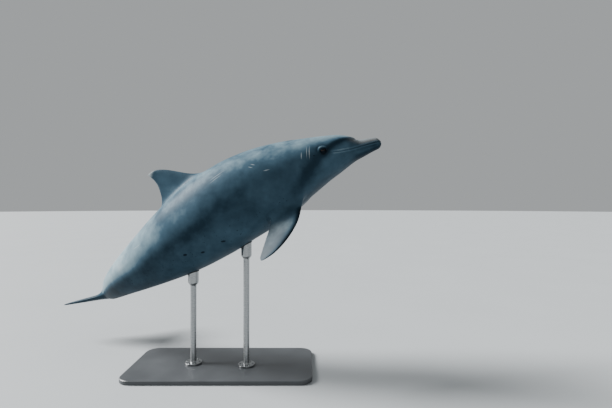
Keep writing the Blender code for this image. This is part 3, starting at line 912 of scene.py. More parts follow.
class Skin:
    """The dolphin's skin: one closed mesh over the body, fins, flippers, flukes and round the eyes."""

    HALF_COLUMNS = 72
    NOSE_RINGS = 12
    TAIL_RINGS = 6
    BLEND_LOOPS = 14
    BLEND_REACH = 0.92
    BLADE_LOOPS = 34
    ROOT_SAMPLES = 96
    ROOT_REACH = 0.16
    ROOT_LIMIT = 0.45
    ROOT_HALVINGS = 22
    SOFT_BLADE_LOOPS = 7
    SOFT_BODY_RINGS = 4
    SOFT_START = 0.8
    SOFT_PASSES = 60
    LEAD_CORNER = math.radians(30.0)
    TRAIL_CORNER = math.radians(24.0)

    def __init__(self, form: BodyForm, blades: list[Blade], eyes: list[EyePlace], lids: Lids) -> None:
        """Builds all the points and faces.

        Args:
            form: The body.
            blades: The fins that grow out of it.
            eyes: Where the eyes are.
            lids: The lids round each eye.
        """
        self.form = form
        self.columns = 2 * self.HALF_COLUMNS
        self.points: list[Array] = []
        self.facts: list[Array] = []
        self.quads: list[Array] = []
        self.triangles: list[Array] = []
        self.count = 0
        self.rows = self.ring_stations()
        self.keep = np.ones((len(self.rows) - 1, self.columns), bool)
        self.add_body()
        for eye in eyes:
            self.add_eye(eye, lids)
        for blade in blades:
            self.add_blade(blade)
        self.add_body_faces()

    def ring_stations(self) -> Array:
        """The stations of the rings, crowded at the rounded ends and on the head."""
        form = self.form
        turn = np.linspace(0.0, math.pi / 2.0, self.NOSE_RINGS + 1)[1:]
        nose = form.snout + form.nose_rounding * (1.0 - np.cos(turn))
        tail_start = 1.0 - form.tail_rounding
        middle = Spacing().stations(float(nose[-1]), tail_start, form.spine.length)
        turn = np.linspace(0.0, math.pi / 2.0, self.TAIL_RINGS + 1)[1:-1]
        tail = tail_start + form.tail_rounding * np.sin(turn)
        return np.concatenate((nose, middle[1:], tail))

    def column_angles(self, at: Array) -> Array:
        """Angles of the columns on each ring, crowded at the back, the belly and the mouth.

        Args:
            at: Stations of the rings.

        Returns:
            A row for each ring, with angles from the back that run round by the left.
        """
        form = self.form
        mouth_angle = form.angle_at_height(at, form.mouth_height(at))
        settle = ease((at - form.mouth_corner) / 0.09)
        middle = (mouth_angle * (1.0 - settle) + math.pi / 2.0 * settle)[:, None]
        crowd = (0.40 + 0.18 * ease((at - 0.14) / 0.08))[:, None]
        share = np.abs(np.linspace(-1.0, 1.0, self.HALF_COLUMNS + 1))[None, :]
        bent = crowd * share + (1.0 - crowd) * (3.0 * share**2 - 2.0 * share**3)
        upper = np.arange(self.HALF_COLUMNS + 1)[None, :] < self.HALF_COLUMNS / 2
        left = np.where(upper, middle * (1.0 - bent), middle + (math.pi - middle) * bent)
        return np.concatenate((left, -left[:, -2:0:-1]), axis=1)

    def add_points(
        self, points: Array, at: Array, angle: Array, blade: BladeKind = BladeKind.NONE,
        span: Array | float = 0.0, chord: Array | float = 0.0, soften: Array | float = 0.0,
    ) -> Array:
        """Adds points with the facts that the skin's pattern needs.

        Args:
            points: World points.
            at: Their stations.
            angle: Their angles from the back.
            blade: The fin that they belong to.
            span: Shares of the fin's span.
            chord: Shares of its chord.
            soften: How far the last smoothing may move them, from 0 to 1.

        Returns:
            The points' numbers.
        """
        size = len(points)
        columns = (at, angle, float(blade.value), span, chord, soften)
        facts = [np.broadcast_to(np.asarray(column, float), size) for column in columns]
        self.points.append(points)
        self.facts.append(np.stack(facts, 1))
        self.count += size
        return np.arange(self.count - size, self.count)

    def add_body(self) -> None:
        """Adds the rings of the body and the points that close its ends."""
        self.angles = self.column_angles(self.rows)
        at = np.repeat(self.rows, self.columns)
        angle = self.angles.ravel()
        self.add_points(self.form.points(at, angle), at, angle)
        for end in (self.form.snout, 1.0):
            at_end, none = np.array([end]), np.array([0.0])
            self.add_points(self.form.smooth_points(at_end, none), at_end, none)

    def number(self, row: int, column: int) -> int:
        """The number of a point of the body's grid."""
        return row * self.columns + column % self.columns

    def add_body_faces(self) -> None:
        """Adds the faces of the body where nothing was cut out, and closes its two ends."""
        rows, columns = np.nonzero(self.keep)
        following = (columns + 1) % self.columns
        first, second = rows * self.columns, (rows + 1) * self.columns
        corners = (first + columns, first + following, second + following, second + columns)
        self.quads.append(np.stack(corners, 1))
        snout_pole = len(self.rows) * self.columns
        ring = np.arange(self.columns)
        following = (ring + 1) % self.columns
        self.triangles.append(np.stack((np.full_like(ring, snout_pole), following, ring), 1))
        last = (len(self.rows) - 1) * self.columns
        tail_pole = np.full_like(ring, snout_pole + 1)
        self.triangles.append(np.stack((last + ring, last + following, tail_pole), 1))

    def cut(self, at_range: Pair, angle_range: Pair) -> Patch:
        """Cuts a patch out of the grid round a stretch of stations and angles.

        Args:
            at_range: The first and last station that the patch must hold.
            angle_range: The least and greatest angle that it must hold.

        Returns:
            The patch.
        """
        first = int(np.searchsorted(self.rows, at_range[0])) - 1
        last = int(np.searchsorted(self.rows, at_range[1]))
        last = min(last, len(self.rows) - 2)
        ring = self.angles[(first + last) // 2]
        half = self.HALF_COLUMNS
        unrolled = np.concatenate((ring[half + 1 :], ring[: half + 1]))
        unrolled = np.concatenate((unrolled, unrolled + 2.0 * math.pi))
        start = int(np.searchsorted(unrolled, angle_range[0])) - half
        stop = int(np.searchsorted(unrolled, angle_range[1])) - half + 1
        patch = Patch(first, last, start, stop)
        columns = np.arange(patch.first_column, patch.last_column) % self.columns
        self.keep[first:last, columns] = False
        return patch

    def rim_facts(self, patch: Patch) -> tuple[Array, Array, Array, Array]:
        """The rim of a patch.

        Args:
            patch: The patch.

        Returns:
            The points' numbers, stations, unrolled angles and places from 0 to 4 round the rim.
        """
        rim = patch.rim()
        numbers = np.array([self.number(row, column) for row, column, _ in rim])
        at = np.array([self.rows[row] for row, _, _ in rim])
        angle = np.array([self.angles[row, column % self.columns] for row, column, _ in rim])
        turns = np.array([(column + self.HALF_COLUMNS - 1) // self.columns for _, column, _ in rim])
        return numbers, at, angle + 2.0 * math.pi * turns, np.array([share for _, _, share in rim])

    def bridge(self, outer: Array, inner: Array) -> Array:
        """Joins two loops of points with quads, and returns the inner one."""
        self.quads.append(np.stack((outer, np.roll(outer, -1), np.roll(inner, -1), inner), 1))
        return inner

    def close(self, loop: Array, pole: Array) -> None:
        """Closes a loop of points with triangles to one point."""
        self.triangles.append(np.stack((loop, np.roll(loop, -1), np.full_like(loop, pole[0])), 1))

    def add_blade(self, blade: Blade) -> None:
        """Cuts the body open at a fin's root and grows the fin out of it in one flowing surface.

        Args:
            blade: The fin.
        """
        shape, form = blade.shape, self.form
        ring = full_turn(self.ROOT_SAMPLES)
        root = self.root_shares(blade, ring)
        at, angle, _ = form.from_world(blade.points(root, ring), blade.station, self.ROOT_REACH)
        middle = math.atan2(np.sin(angle).mean(), np.cos(angle).mean())
        angle = unrolled(angle, middle)
        metric = self.angle_metric(blade.station, middle)
        front, back, side = shape.margins_m
        length = form.spine.length
        patch = self.cut(
            (at.min() - front / length, min(at.max() + back / length, 1.0 - form.tail_rounding * 0.6)),
            (angle.min() - side / metric, angle.max() + side / metric),
        )
        loop, rim_at, rim_angle, share = self.rim_facts(patch)
        rim_angle = unrolled(rim_angle, middle)
        first, second = (angle[np.abs(ring - side * math.pi).argmin()] for side in (0.5, 1.5))
        turn = self.section_turns(share, 1.0 if first > second else -1.0)
        root = self.root_shares(blade, turn)
        foot_at, foot_angle, _ = form.from_world(blade.points(root, turn), blade.station, self.ROOT_REACH)
        foot_angle = unrolled(foot_angle, middle)
        self.soften_round(patch)
        chord = (1.0 - np.cos(turn)) / 2.0
        for i in range(1, self.BLEND_LOOPS + 1):
            t = i / self.BLEND_LOOPS
            reach = t * self.BLEND_REACH
            body_at = rim_at + (foot_at - rim_at) * reach
            body_angle = rim_angle + (foot_angle - rim_angle) * reach
            span = root + shape.blend_share * (t * 1.5 - 0.5)
            weight = float(ease(np.array(t)))
            points = form.points(body_at, body_angle) * (1.0 - weight) + blade.points(span, turn) * weight
            added = self.add_points(points, body_at, body_angle, shape.kind, span, chord, shape.softness)
            loop = self.bridge(loop, added)
        end = root + shape.blend_share
        for i in range(1, self.BLADE_LOOPS):
            reach = math.sin(math.pi / 2.0 * i / self.BLADE_LOOPS)
            span = end + (1.0 - end) * reach
            soften = self.SOFT_START * shape.softness * max(0.0, 1.0 - i / self.SOFT_BLADE_LOOPS)
            points = blade.points(span, turn)
            added = self.add_points(points, foot_at, foot_angle, shape.kind, span, chord, soften)
            loop = self.bridge(loop, added)
        tip = blade.points(np.array([1.0]), np.array([math.pi / 2.0]))
        self.close(loop, self.add_points(tip, foot_at[:1], foot_angle[:1], shape.kind, 1.0, 0.5))

    def soften_round(self, patch: Patch) -> None:
        """Lets the last smoothing move the body round a patch, less with distance.

        Args:
            patch: The patch.
        """
        reach = self.SOFT_BODY_RINGS
        for row in range(patch.first_row - reach, min(patch.last_row + reach, len(self.rows) - 1) + 1):
            for column in range(patch.first_column - reach, patch.last_column + reach + 1):
                outside = max(patch.first_row - row, row - patch.last_row,
                              patch.first_column - column, column - patch.last_column, 0)
                facts = self.facts[0][self.number(row, column)]
                facts[5] = max(facts[5], self.SOFT_START * (1.0 - outside / (reach + 1)))

    def section_turns(self, share: Array, way: float) -> Array:
        """Angles round a fin's section for places round the rim of its patch.

        Args:
            share: Places round the rim, from 0 to 4.
            way: 1 where the section's first half faces larger body angles, or -1.

        Returns:
            Angles from 0 at the front edge to pi at the back edge and on round.
        """
        corners = (0.0, 1.0, 2.0, 3.0, 4.0)
        lead, trail = self.LEAD_CORNER, self.TRAIL_CORNER
        turns = (-lead, lead, math.pi - trail, math.pi + trail, 2.0 * math.pi - lead)
        return way * np.interp(share, corners, turns)

    def root_shares(self, blade: Blade, turn: Array) -> Array:
        """Where a fin's surface comes out of the body.

        Args:
            blade: The fin.
            turn: Angles round its section.

        Returns:
            The share of the span for each angle.
        """
        low = np.full(len(turn), blade.shape.root_share)
        high = np.full(len(turn), self.ROOT_LIMIT)
        for _ in range(self.ROOT_HALVINGS):
            middle = (low + high) / 2.0
            points = blade.points(middle, turn)
            _, _, size = self.form.from_world(points, blade.station, self.ROOT_REACH)
            outside = size > 1.0
            high = np.where(outside, middle, high)
            low = np.where(outside, low, middle)
        return (low + high) / 2.0

    def angle_metric(self, station: float, angle: float) -> float:
        """Metres of skin for each radian of angle at a place."""
        at, turn = np.array([station]), 0.02
        after, before = (self.form.smooth_points(at, np.array([angle + way * turn])) for way in (1, -1))
        return float(np.linalg.norm(after - before)) / (2.0 * turn)

    def add_eye(self, eye: EyePlace, lids: Lids) -> None:
        """Cuts the head open at an eye and models the lids and the pocket that holds the eyeball.

        Args:
            eye: Where the eye is.
            lids: Its lids.
        """
        reach_at, reach_angle = lids.patch_length / self.form.spine.length, lids.patch_height / eye.axes[3]
        patch = self.cut(
            (eye.form.eye_station - reach_at, eye.form.eye_station + reach_at),
            (eye.angle - reach_angle, eye.angle + reach_angle),
        )
        loop, rim_at, rim_angle, _ = self.rim_facts(patch)
        rim_ahead, rim_above = eye.to_local(rim_at, rim_angle)
        turn = np.arctan2(rim_above / lids.patch_height, rim_ahead / lids.patch_length)
        lid_ahead, lid_above = lids.opening(turn / (math.pi / 2.0) + 0.5)
        inner = eye.radius + lids.clearance
        outer = inner + lids.thickness
        for i in range(1, lids.loops + 1):
            reach = 1.0 - (1.0 - i / lids.loops) ** 1.5
            ahead = rim_ahead + (lid_ahead - rim_ahead) * reach
            above = rim_above + (lid_above - rim_above) * reach
            at, angle = eye.from_local(ahead, above)
            from_middle = np.hypot(ahead / lids.stretch, above)
            weight = (1.0 - ease((from_middle - lids.ball_end) / lids.ball_fade))[:, None]
            out = np.hypot(ahead - lid_ahead, above - lid_above)
            direction = eye.shell_points(ahead, above, outer + 0.012) - eye.centre
            direction = direction / np.linalg.norm(direction, axis=1)[:, None]
            rise = lids.folds(out, turn) * (1.0 - ease((from_middle - 0.013) / 0.006))
            shell = eye.shell_points(ahead, above, outer)
            points = self.form.points(at, angle) * (1.0 - weight) + shell * weight
            loop = self.bridge(loop, self.add_points(points + direction * rise[:, None], at, angle))
        self.add_pocket(eye, loop, (lid_ahead, lid_above), (inner, outer))

    def add_pocket(
        self, eye: EyePlace, loop: Array, opening: tuple[Array, Array], radii: tuple[float, float]
    ) -> None:
        """Rolls the lids' edge over and closes the pocket behind the eyeball.

        Args:
            eye: The eye.
            loop: Numbers of the points along the lids' outer edge.
            opening: Places of the opening, forward of and above the eye.
            radii: Inner and outer radius of the lids about the eyeball's middle.
        """
        ahead, above = opening
        forward, up, outward, _ = eye.axes
        inner, outer = radii
        across = np.hypot(ahead, above)
        sideways = (forward * ahead[:, None] + up * above[:, None]) / across[:, None]
        start = np.arcsin(across / outer)
        at, angle = eye.from_local(ahead, above)
        roll = [(outer - (outer - inner) * (1.0 - math.cos(t)) / 2.0, -0.0007 * math.sin(t))
                for t in np.linspace(0.0, math.pi, 6)[1:]]
        rings = [(radius, start + shift / outer) for radius, shift in roll]
        rings += [(inner, start + (math.pi - start) * share) for share in (0.08, 0.2, 0.4, 0.6, 0.8, 0.93)]
        for radius, polar in rings:
            offset = sideways * np.sin(polar)[:, None] + outward * np.cos(polar)[:, None]
            points = eye.centre + radius * offset
            loop = self.bridge(loop, self.add_points(points, at, angle, span=-1.0))
        self.close(loop, self.add_points(eye.centre[None, :] - outward * inner, at[:1], angle[:1], span=-1.0))

    def build(self, name: str) -> Object:
        """Makes the mesh object, without the points that the patches left unused.

        Args:
            name: The object's name.

        Returns:
            The object.
        """
        points, facts = np.concatenate(self.points), np.concatenate(self.facts)
        quads, triangles = np.concatenate(self.quads), np.concatenate(self.triangles)
        points = self.softened(points, facts[:, 5], quads)
        used = np.zeros(len(points), bool)
        used[quads.ravel()] = True
        used[triangles.ravel()] = True
        renumber = np.cumsum(used) - 1
        quads, triangles = renumber[quads], renumber[triangles]
        self.facts_used = facts[used]
        return mesh_object(name, points[used].tolist(), quads.tolist() + triangles.tolist())

    def softened(self, points: Array, soften: Array, quads: Array) -> Array:
        """Points after a smoothing that moves only those that allow it.

        Args:
            points: All the points.
            soften: How far each may move, from 0 to 1.
            quads: The faces that join them.

        Returns:
            As many points.
        """
        starts = np.concatenate((quads[:, 0], quads[:, 1], quads[:, 2], quads[:, 3]))
        ends = np.concatenate((quads[:, 1], quads[:, 2], quads[:, 3], quads[:, 0]))
        amount = np.bincount(starts, minlength=len(points)) + np.bincount(ends, minlength=len(points))
        moving = (np.clip(soften, 0.0, 1.0) * 0.5)[:, None]
        for _ in range(self.SOFT_PASSES):
            ahead = [np.bincount(starts, points[ends, k], len(points)) for k in range(3)]
            behind = [np.bincount(ends, points[starts, k], len(points)) for k in range(3)]
            mean = (np.stack(ahead, 1) + np.stack(behind, 1)) / np.maximum(amount, 1)[:, None]
            points = np.where(moving > 0.0, points + (mean - points) * moving, points)
        return points


# ---- markings


@dataclass(frozen=True)
class Trail:
    """A line over the skin through stations and angles from the back, mirrored to both sides."""

    at: tuple[float, ...]
    angle: tuple[float, ...]
    steps: int = 24

    def distance(self, form: BodyForm, points: Array, side: int) -> Array:
        """How far points are from the line.

        Args:
            form: The body that it runs over.
            points: World points.
            side: 1 for the line on the left and -1 for the one on the right.

        Returns:
            Metres for each point.
        """
        share = np.linspace(0.0, 1.0, self.steps)
        known = np.linspace(0.0, 1.0, len(self.at))
        at, angle = np.interp(share, known, self.at), np.interp(share, known, self.angle)
        line = form.smooth_points(at, side * angle)
        least = np.full(len(points), 9.0)
        for start, end in zip(line[:-1], line[1:]):
            along = end - start
            reach = np.clip((points - start) @ along / (along @ along), 0.0, 1.0)[:, None]
            least = np.minimum(least, np.linalg.norm(points - start - reach * along, axis=1))
        return least


@dataclass(frozen=True)
class Markings:
    """Where the skin is pale, dark, warm, freckled, clouded or worn, and where light and shade are painted on
    it, each as a value for every point.
    """

    form: BodyForm
    eyes: tuple[EyePlace, ...]
    lids: Lids
    eye_to_flipper: Trail = Trail((0.148, 0.165, 0.183, 0.207, 0.237), (1.69, 1.80, 1.92, 2.10, 2.24))
    crease_to_eye: Trail = Trail((0.068, 0.090, 0.112, 0.128, 0.146), (0.96, 1.16, 1.34, 1.46, 1.62))
    cheek: Trail = Trail((0.090, 0.110, 0.130, 0.150), (1.62, 1.74, 1.86, 1.98))

    def write(self, mesh: Mesh, points: Array, facts: Array) -> None:
        """Puts all the values on the mesh as attributes.

        Args:
            mesh: The skin.
            points: Its points.
            facts: Station, angle, fin, span share, chord share and softening for each point.
        """
        at, kind, span, chord = facts[:, 0], facts[:, 2], facts[:, 3], facts[:, 4]
        angle = unrolled(facts[:, 1], 0.0)
        on_body = kind == BladeKind.NONE.value
        pocket = (on_body & (span < 0.0)).astype(float)
        span = np.maximum(span, 0.0)
        shade = self.body_tone_and_painted_light(at, angle) + self.face_marks_and_painted_light(points, at, angle)
        blades = self.fin_tone_and_painted_light(kind, span, chord)
        growing = np.where(on_body, 0.0, ease(span / 0.22))
        paddle = ease((span - 0.18) / 0.30) * (kind == BladeKind.FLIPPER.value)
        values = {
            # The shade holds the tones of body and fins with their painted light and shade.
            "shade": shade * (1.0 - growing) + blades * growing,
            "warm": self.warmth(at, angle) * (1.0 - growing) + 0.45 * paddle * (1.0 - bell(chord, 0.25)),
            "freckles": self.freckles(at, angle) * (1.0 - growing),
            "clouding_and_dappled_light": self.clouding_and_dappled_light(at, angle) * (1.0 - growing) + 0.35 * growing + 0.35 * paddle,
            "worn": self.wear(kind, span, chord),
            "pocket": pocket,
            "lip": self.lip(at, angle),
        }
        for name, value in values.items():
            write_values(mesh, name, value)
        lay = self.lay(at, angle, kind, span, chord).astype(np.float32).ravel()
        mesh.attributes.new("lay", "FLOAT_VECTOR", "POINT").data.foreach_set("vector", lay)

    def lay(self, at: Array, angle: Array, kind: Array, span: Array, chord: Array) -> Array:
        """Metres along and round the body, or along and across a fin, with the side as third value."""
        radius = 0.5 * (self.form.profile("half_width", at) + self.form.profile("back", at))
        body = np.stack((at * self.form.spine.length, np.abs(angle) * radius, np.sign(angle)), 1)
        fin = np.stack((span * 0.30, chord * 0.20, 10.0 * kind + np.sign(angle)), 1)
        return np.where((kind > 0.0)[:, None], fin, body)

    def body_tone_and_painted_light(self, at: Array, angle: Array) -> Array:
        """The broad shade of the body, with painted light: a lit back and crown, a painted shadow band below
        them, partly the cape's edge, and painted shade on the beak, lowest belly and lower tail.

        Args:
            at: Stations.
            angle: Angles from the back.

        Returns:
            Values from 0 for dark to 1 for pale.
        """
        turn = np.abs(angle)
        places = (0.10, 0.16, 0.22, 0.34, 0.44, 0.55, 0.65, 0.75)
        edge = np.interp(at, places, (1.02, 1.22, 1.22, 1.22, 1.36, 1.48, 1.64, 1.66))
        band_at = np.interp(at, places, (1.45, 1.50, 1.48, 1.54, 1.66, 1.80, 2.00, 2.10))
        # Painted light on the top, paler still towards the tail.
        top = 1.0 - ease((turn - edge + 0.34) / 0.68)
        rear = ease((at - 0.50) / 0.20)
        # Painted shadow band below the lit top, partly the cape's own dark edge.
        shadow_band = bell(turn - band_at, 0.17 + 0.28 * rear) * ease((at - 0.30) / 0.10)
        # Painted shade along the lowest belly.
        under = ease((turn - 2.55) / 0.45) * (1.0 - 0.7 * rear)
        # Painted light on the top of the head.
        painted_lit_crown = top * (1.0 - ease((at - 0.14) / 0.08)) * ease((at - 0.055) / 0.02)
        belly = ease((turn - band_at - 0.30) / 0.70) * (1.0 - 0.7 * rear)
        # Painted shade on the lower sides of the hind body and tail stock.
        keel = ease((turn - 1.75) / 0.35) * ease((at - 0.56) / 0.16)
        stock = ease((turn - 1.40) / 0.35) * ease((at - 0.72) / 0.08)
        # Painted shade on the beak.
        beak = 1.0 - ease((at - 0.045) / 0.035)
        # Darker on the upper flanks round the middle of the body.
        middle = bell(at - 0.42, 0.13) * bell(turn - 1.05, 0.32)
        body = 0.34 + (0.19 + 0.20 * rear) * top - (0.08 - 0.05 * rear) * shadow_band + 0.09 * painted_lit_crown - 0.10 * middle
        body += 0.04 * belly - 0.04 * under - 0.06 * beak - 0.01 * keel - 0.07 * stock
        # The tail end fades to the flukes' tone, which is partly painted shade.
        return body + (0.29 - body) * ease((at - 0.89) / 0.05)

    def face_marks_and_painted_light(self, points: Array, at: Array, angle: Array) -> Array:
        """What the face's stripes, the rings round the eyes, a painted highlight on the ridge over each eye
        and painted shade under the beak add to the shade.

        Args:
            points: World points.
            at: Their stations.
            angle: Their angles from the back.

        Returns:
            A value to add for each point, negative where it darkens.
        """
        near = at < 0.30
        total = np.zeros(len(at))
        chosen = points[near]
        added = np.zeros(len(chosen))
        stripes = (
            (self.eye_to_flipper, -0.14, 0.042),
            # The stripe from the crease to the eye: a dark marking, with painted shade on the side of the
            # melon over it.
            (self.crease_to_eye, -0.17, 0.015),
            (self.cheek, 0.12, 0.026),
        )
        for side in (-1, 1):
            for trail, strength, spread in stripes:
                added += strength * bell(trail.distance(self.form, chosen, side), spread)
        _, height = self.form.outline(at[near], angle[near])
        reach, share = self.form.orbit_place(at[near], height)
        # Painted highlight on the ridge over each eye, with painted shade in the fold outside it.
        added += share * (0.42 * bell(reach - self.form.ridge_radius, 0.0046)
                          - 0.10 * bell(reach - self.form.ridge_radius - 0.009, 0.005))
        for eye in self.eyes:
            ahead, above = eye.to_local(at[near], angle[near])
            ring = np.hypot(ahead / 1.35, above) - self.lids.upper
            same = np.sign(angle[near]) == eye.side
            added -= same * 0.20 * bell(ring - 0.001, 0.0075)
            added -= same * 0.14 * np.exp(-((ahead / 0.016) ** 2) - (((above + 0.017) / 0.009) ** 2))
        total[near] = added
        # Painted shade under the beak.
        painted_shade_under_beak = ease((np.abs(angle) - 2.1) / 0.6) * (1.0 - ease((at - 0.055) / 0.05))
        return total - 0.12 * painted_shade_under_beak

    def fin_tone_and_painted_light(self, kind: Array, span: Array, chord: Array) -> Array:
        """The shade of the fins, flippers and flukes, with a painted sunlit patch and painted root shadow on
        the flippers, and painted shade in the flukes' dark tone.

        Args:
            kind: Which fin each point is on.
            span: Shares of its span.
            chord: Shares of its chord.

        Returns:
            Values from 0 for dark to 1 for pale.
        """
        front, back = bell(chord, 0.10), bell(chord - 1.0, 0.10)
        dorsal = 0.39 - 0.05 * front + 0.06 * bell(chord - 0.55, 0.25) * (1.0 - span)
        # Flippers: a painted sunlit patch mid-span and painted shadow at the root, with a dark leading edge.
        flipper = 0.41 + 0.10 * bell(span - 0.45, 0.25) - 0.40 * front - 0.20 * bell(span, 0.20)
        # Flukes: their dark tone is partly painted shade.
        fluke = 0.29 - 0.06 * back
        fins = (BladeKind.DORSAL, BladeKind.FLIPPER, BladeKind.FLUKE)
        return np.select([kind == fin.value for fin in fins], [dorsal, flipper, fluke], 0.4)

    def warmth(self, at: Array, angle: Array) -> Array:
        """Where the skin is a little brown: the top of the beak and its lips."""
        top = 1.0 - ease((np.abs(angle) - 1.0) / 0.7)
        return top * (1.0 - ease((at - 0.045) / 0.05)) * 0.8

    def freckles(self, at: Array, angle: Array) -> Array:
        """Where the belly is flecked with small dark spots."""
        low = ease((np.abs(angle) - 1.75) / 0.5)
        return low * ease((at - 0.20) / 0.1) * (1.0 - ease((at - 0.72) / 0.12))

    def clouding_and_dappled_light(self, at: Array, angle: Array) -> Array:
        """Where the skin is clouded: a little everywhere, and more on the back, where the clouds paint
        dappled light.
        """
        return 0.35 + 0.30 * (1.0 - ease((np.abs(angle) - 0.7) / 0.9)) * ease((at - 0.10) / 0.1)

    def wear(self, kind: Array, span: Array, chord: Array) -> Array:
        """Where edges and tips are rubbed pale."""
        dorsal = kind == BladeKind.DORSAL.value
        tip = ease((span - 0.80) / 0.18) * 0.9
        edge = bell(chord - 1.0, 0.05) * ease((span - 0.35) / 0.4) * 0.8
        other = bell(chord - 1.0, 0.03) * ease((span - 0.5) / 0.4) * 0.5
        return np.where(dorsal, np.maximum(tip, edge), np.where(kind > 0.0, other, 0.0))

    def lip(self, at: Array, angle: Array) -> Array:
        """Where the lips catch the light, as painted highlights: thin pale seams over and under the mouth
        line.
        """
        _, height = self.form.outline(at, angle)
        above = np.abs(height - self.form.mouth_height(at))
        return bell(above - 0.0065, 0.0035) * (1.0 - ease((at - 0.118) / 0.02)) * ease((at - 0.006) / 0.01)


# ---- finishes


def linear(colour: str) -> tuple[float, float, float, float]:
    """The linear colour of an sRGB hex value such as "#7F8C95"."""
    made = []
    for i in (1, 3, 5):
        value = int(colour[i : i + 2], 16) / 255.0
        made.append(value / 12.92 if value <= 0.04045 else ((value + 0.055) / 1.055) ** 2.4)
    return (made[0], made[1], made[2], 1.0)


def per_metre(size_mm: float) -> float:
    """The scale of a pattern whose features are a number of millimetres apart."""
    return 1000.0 / size_mm


def add_node(
    tree: NodeTree, kind: str, inputs: dict | tuple = (), output: str | int = 0,
    stops: Sequence[tuple[float, str]] = (), **settings: object,
) -> NodeSocket:
    """Adds a node with its settings and links.

    Args:
        tree: The tree that gets it.
        kind: The node's type, without "ShaderNode" if it starts so.
        inputs: Values, or sockets to link from, in order or by the input's name or number.
        output: The output that is wanted.
        stops: Places and hex colours, for a node with a colour ramp.
        settings: The node's own properties.

    Returns:
        The wanted output.
    """
    named = kind.startswith(("GeometryNode", "FunctionNode", "NodeGroup"))
    made = tree.nodes.new(kind if named else "ShaderNode" + kind)
    for name, value in settings.items():
        setattr(made, name, value)
    for name, value in (inputs.items() if isinstance(inputs, dict) else enumerate(inputs)):
        if isinstance(value, NodeSocket):
            tree.links.new(value, made.inputs[name])
        elif isinstance(value, str) and value.startswith("#"):
            made.inputs[name].default_value = linear(value)
        else:
            made.inputs[name].default_value = value
    for i, (place, colour) in enumerate(stops):
        elements = made.color_ramp.elements
        element = elements[i] if i < 2 else elements.new(place)
        element.position, element.color = place, linear(colour)
    return made.outputs[output] if len(made.outputs) else None


def maths(tree: NodeTree, operation: str, *values: NodeSocket | float, clamp: bool = False) -> NodeSocket:
    """Adds a sum of values and sockets, and holds it between 0 and 1 if it is to clamp."""
    return add_node(tree, "Math", values, operation=operation, use_clamp=clamp)


def mixed(tree: NodeTree, share: NodeSocket, first: NodeSocket | str, second: str) -> NodeSocket:
    """Adds a mix of two colours, where a share of 1 gives the second."""
    return add_node(tree, "Mix", {0: share, 6: first, 7: second}, output=2, data_type="RGBA")


def noise(
    tree: NodeTree, place: NodeSocket, size_mm: float, detail: float = 2.0, roughness: float = 0.5
) -> NodeSocket:
    """Adds a cloudy pattern whose clouds are a number of millimetres apart."""
    inputs = {"Vector": place, "Scale": per_metre(size_mm), "Detail": detail, "Roughness": roughness}
    return add_node(tree, "TexNoise", inputs)


def new_material(name: str) -> tuple[Material, NodeTree, NodeSocket]:
    """A new material with its node tree, which holds only the Object coordinates so far."""
    made = bpy.data.materials.new(name)
    made.use_nodes = True
    made.node_tree.nodes.clear()
    return made, made.node_tree, add_node(made.node_tree, "TexCoord", output="Object")


def finish_material(tree: NodeTree, inputs: dict) -> None:
    """Adds the surface shader with its inputs, and the output."""
    add_node(tree, "OutputMaterial", {"Surface": add_node(tree, "BsdfPrincipled", inputs)})


@dataclass(frozen=True)
class Mark:
    """A scratch or spot: its place along and round the body, its size and turn, and which layer it is on."""

    along: float
    round: float
    long: float
    wide: float
    turn: float
    layer: float


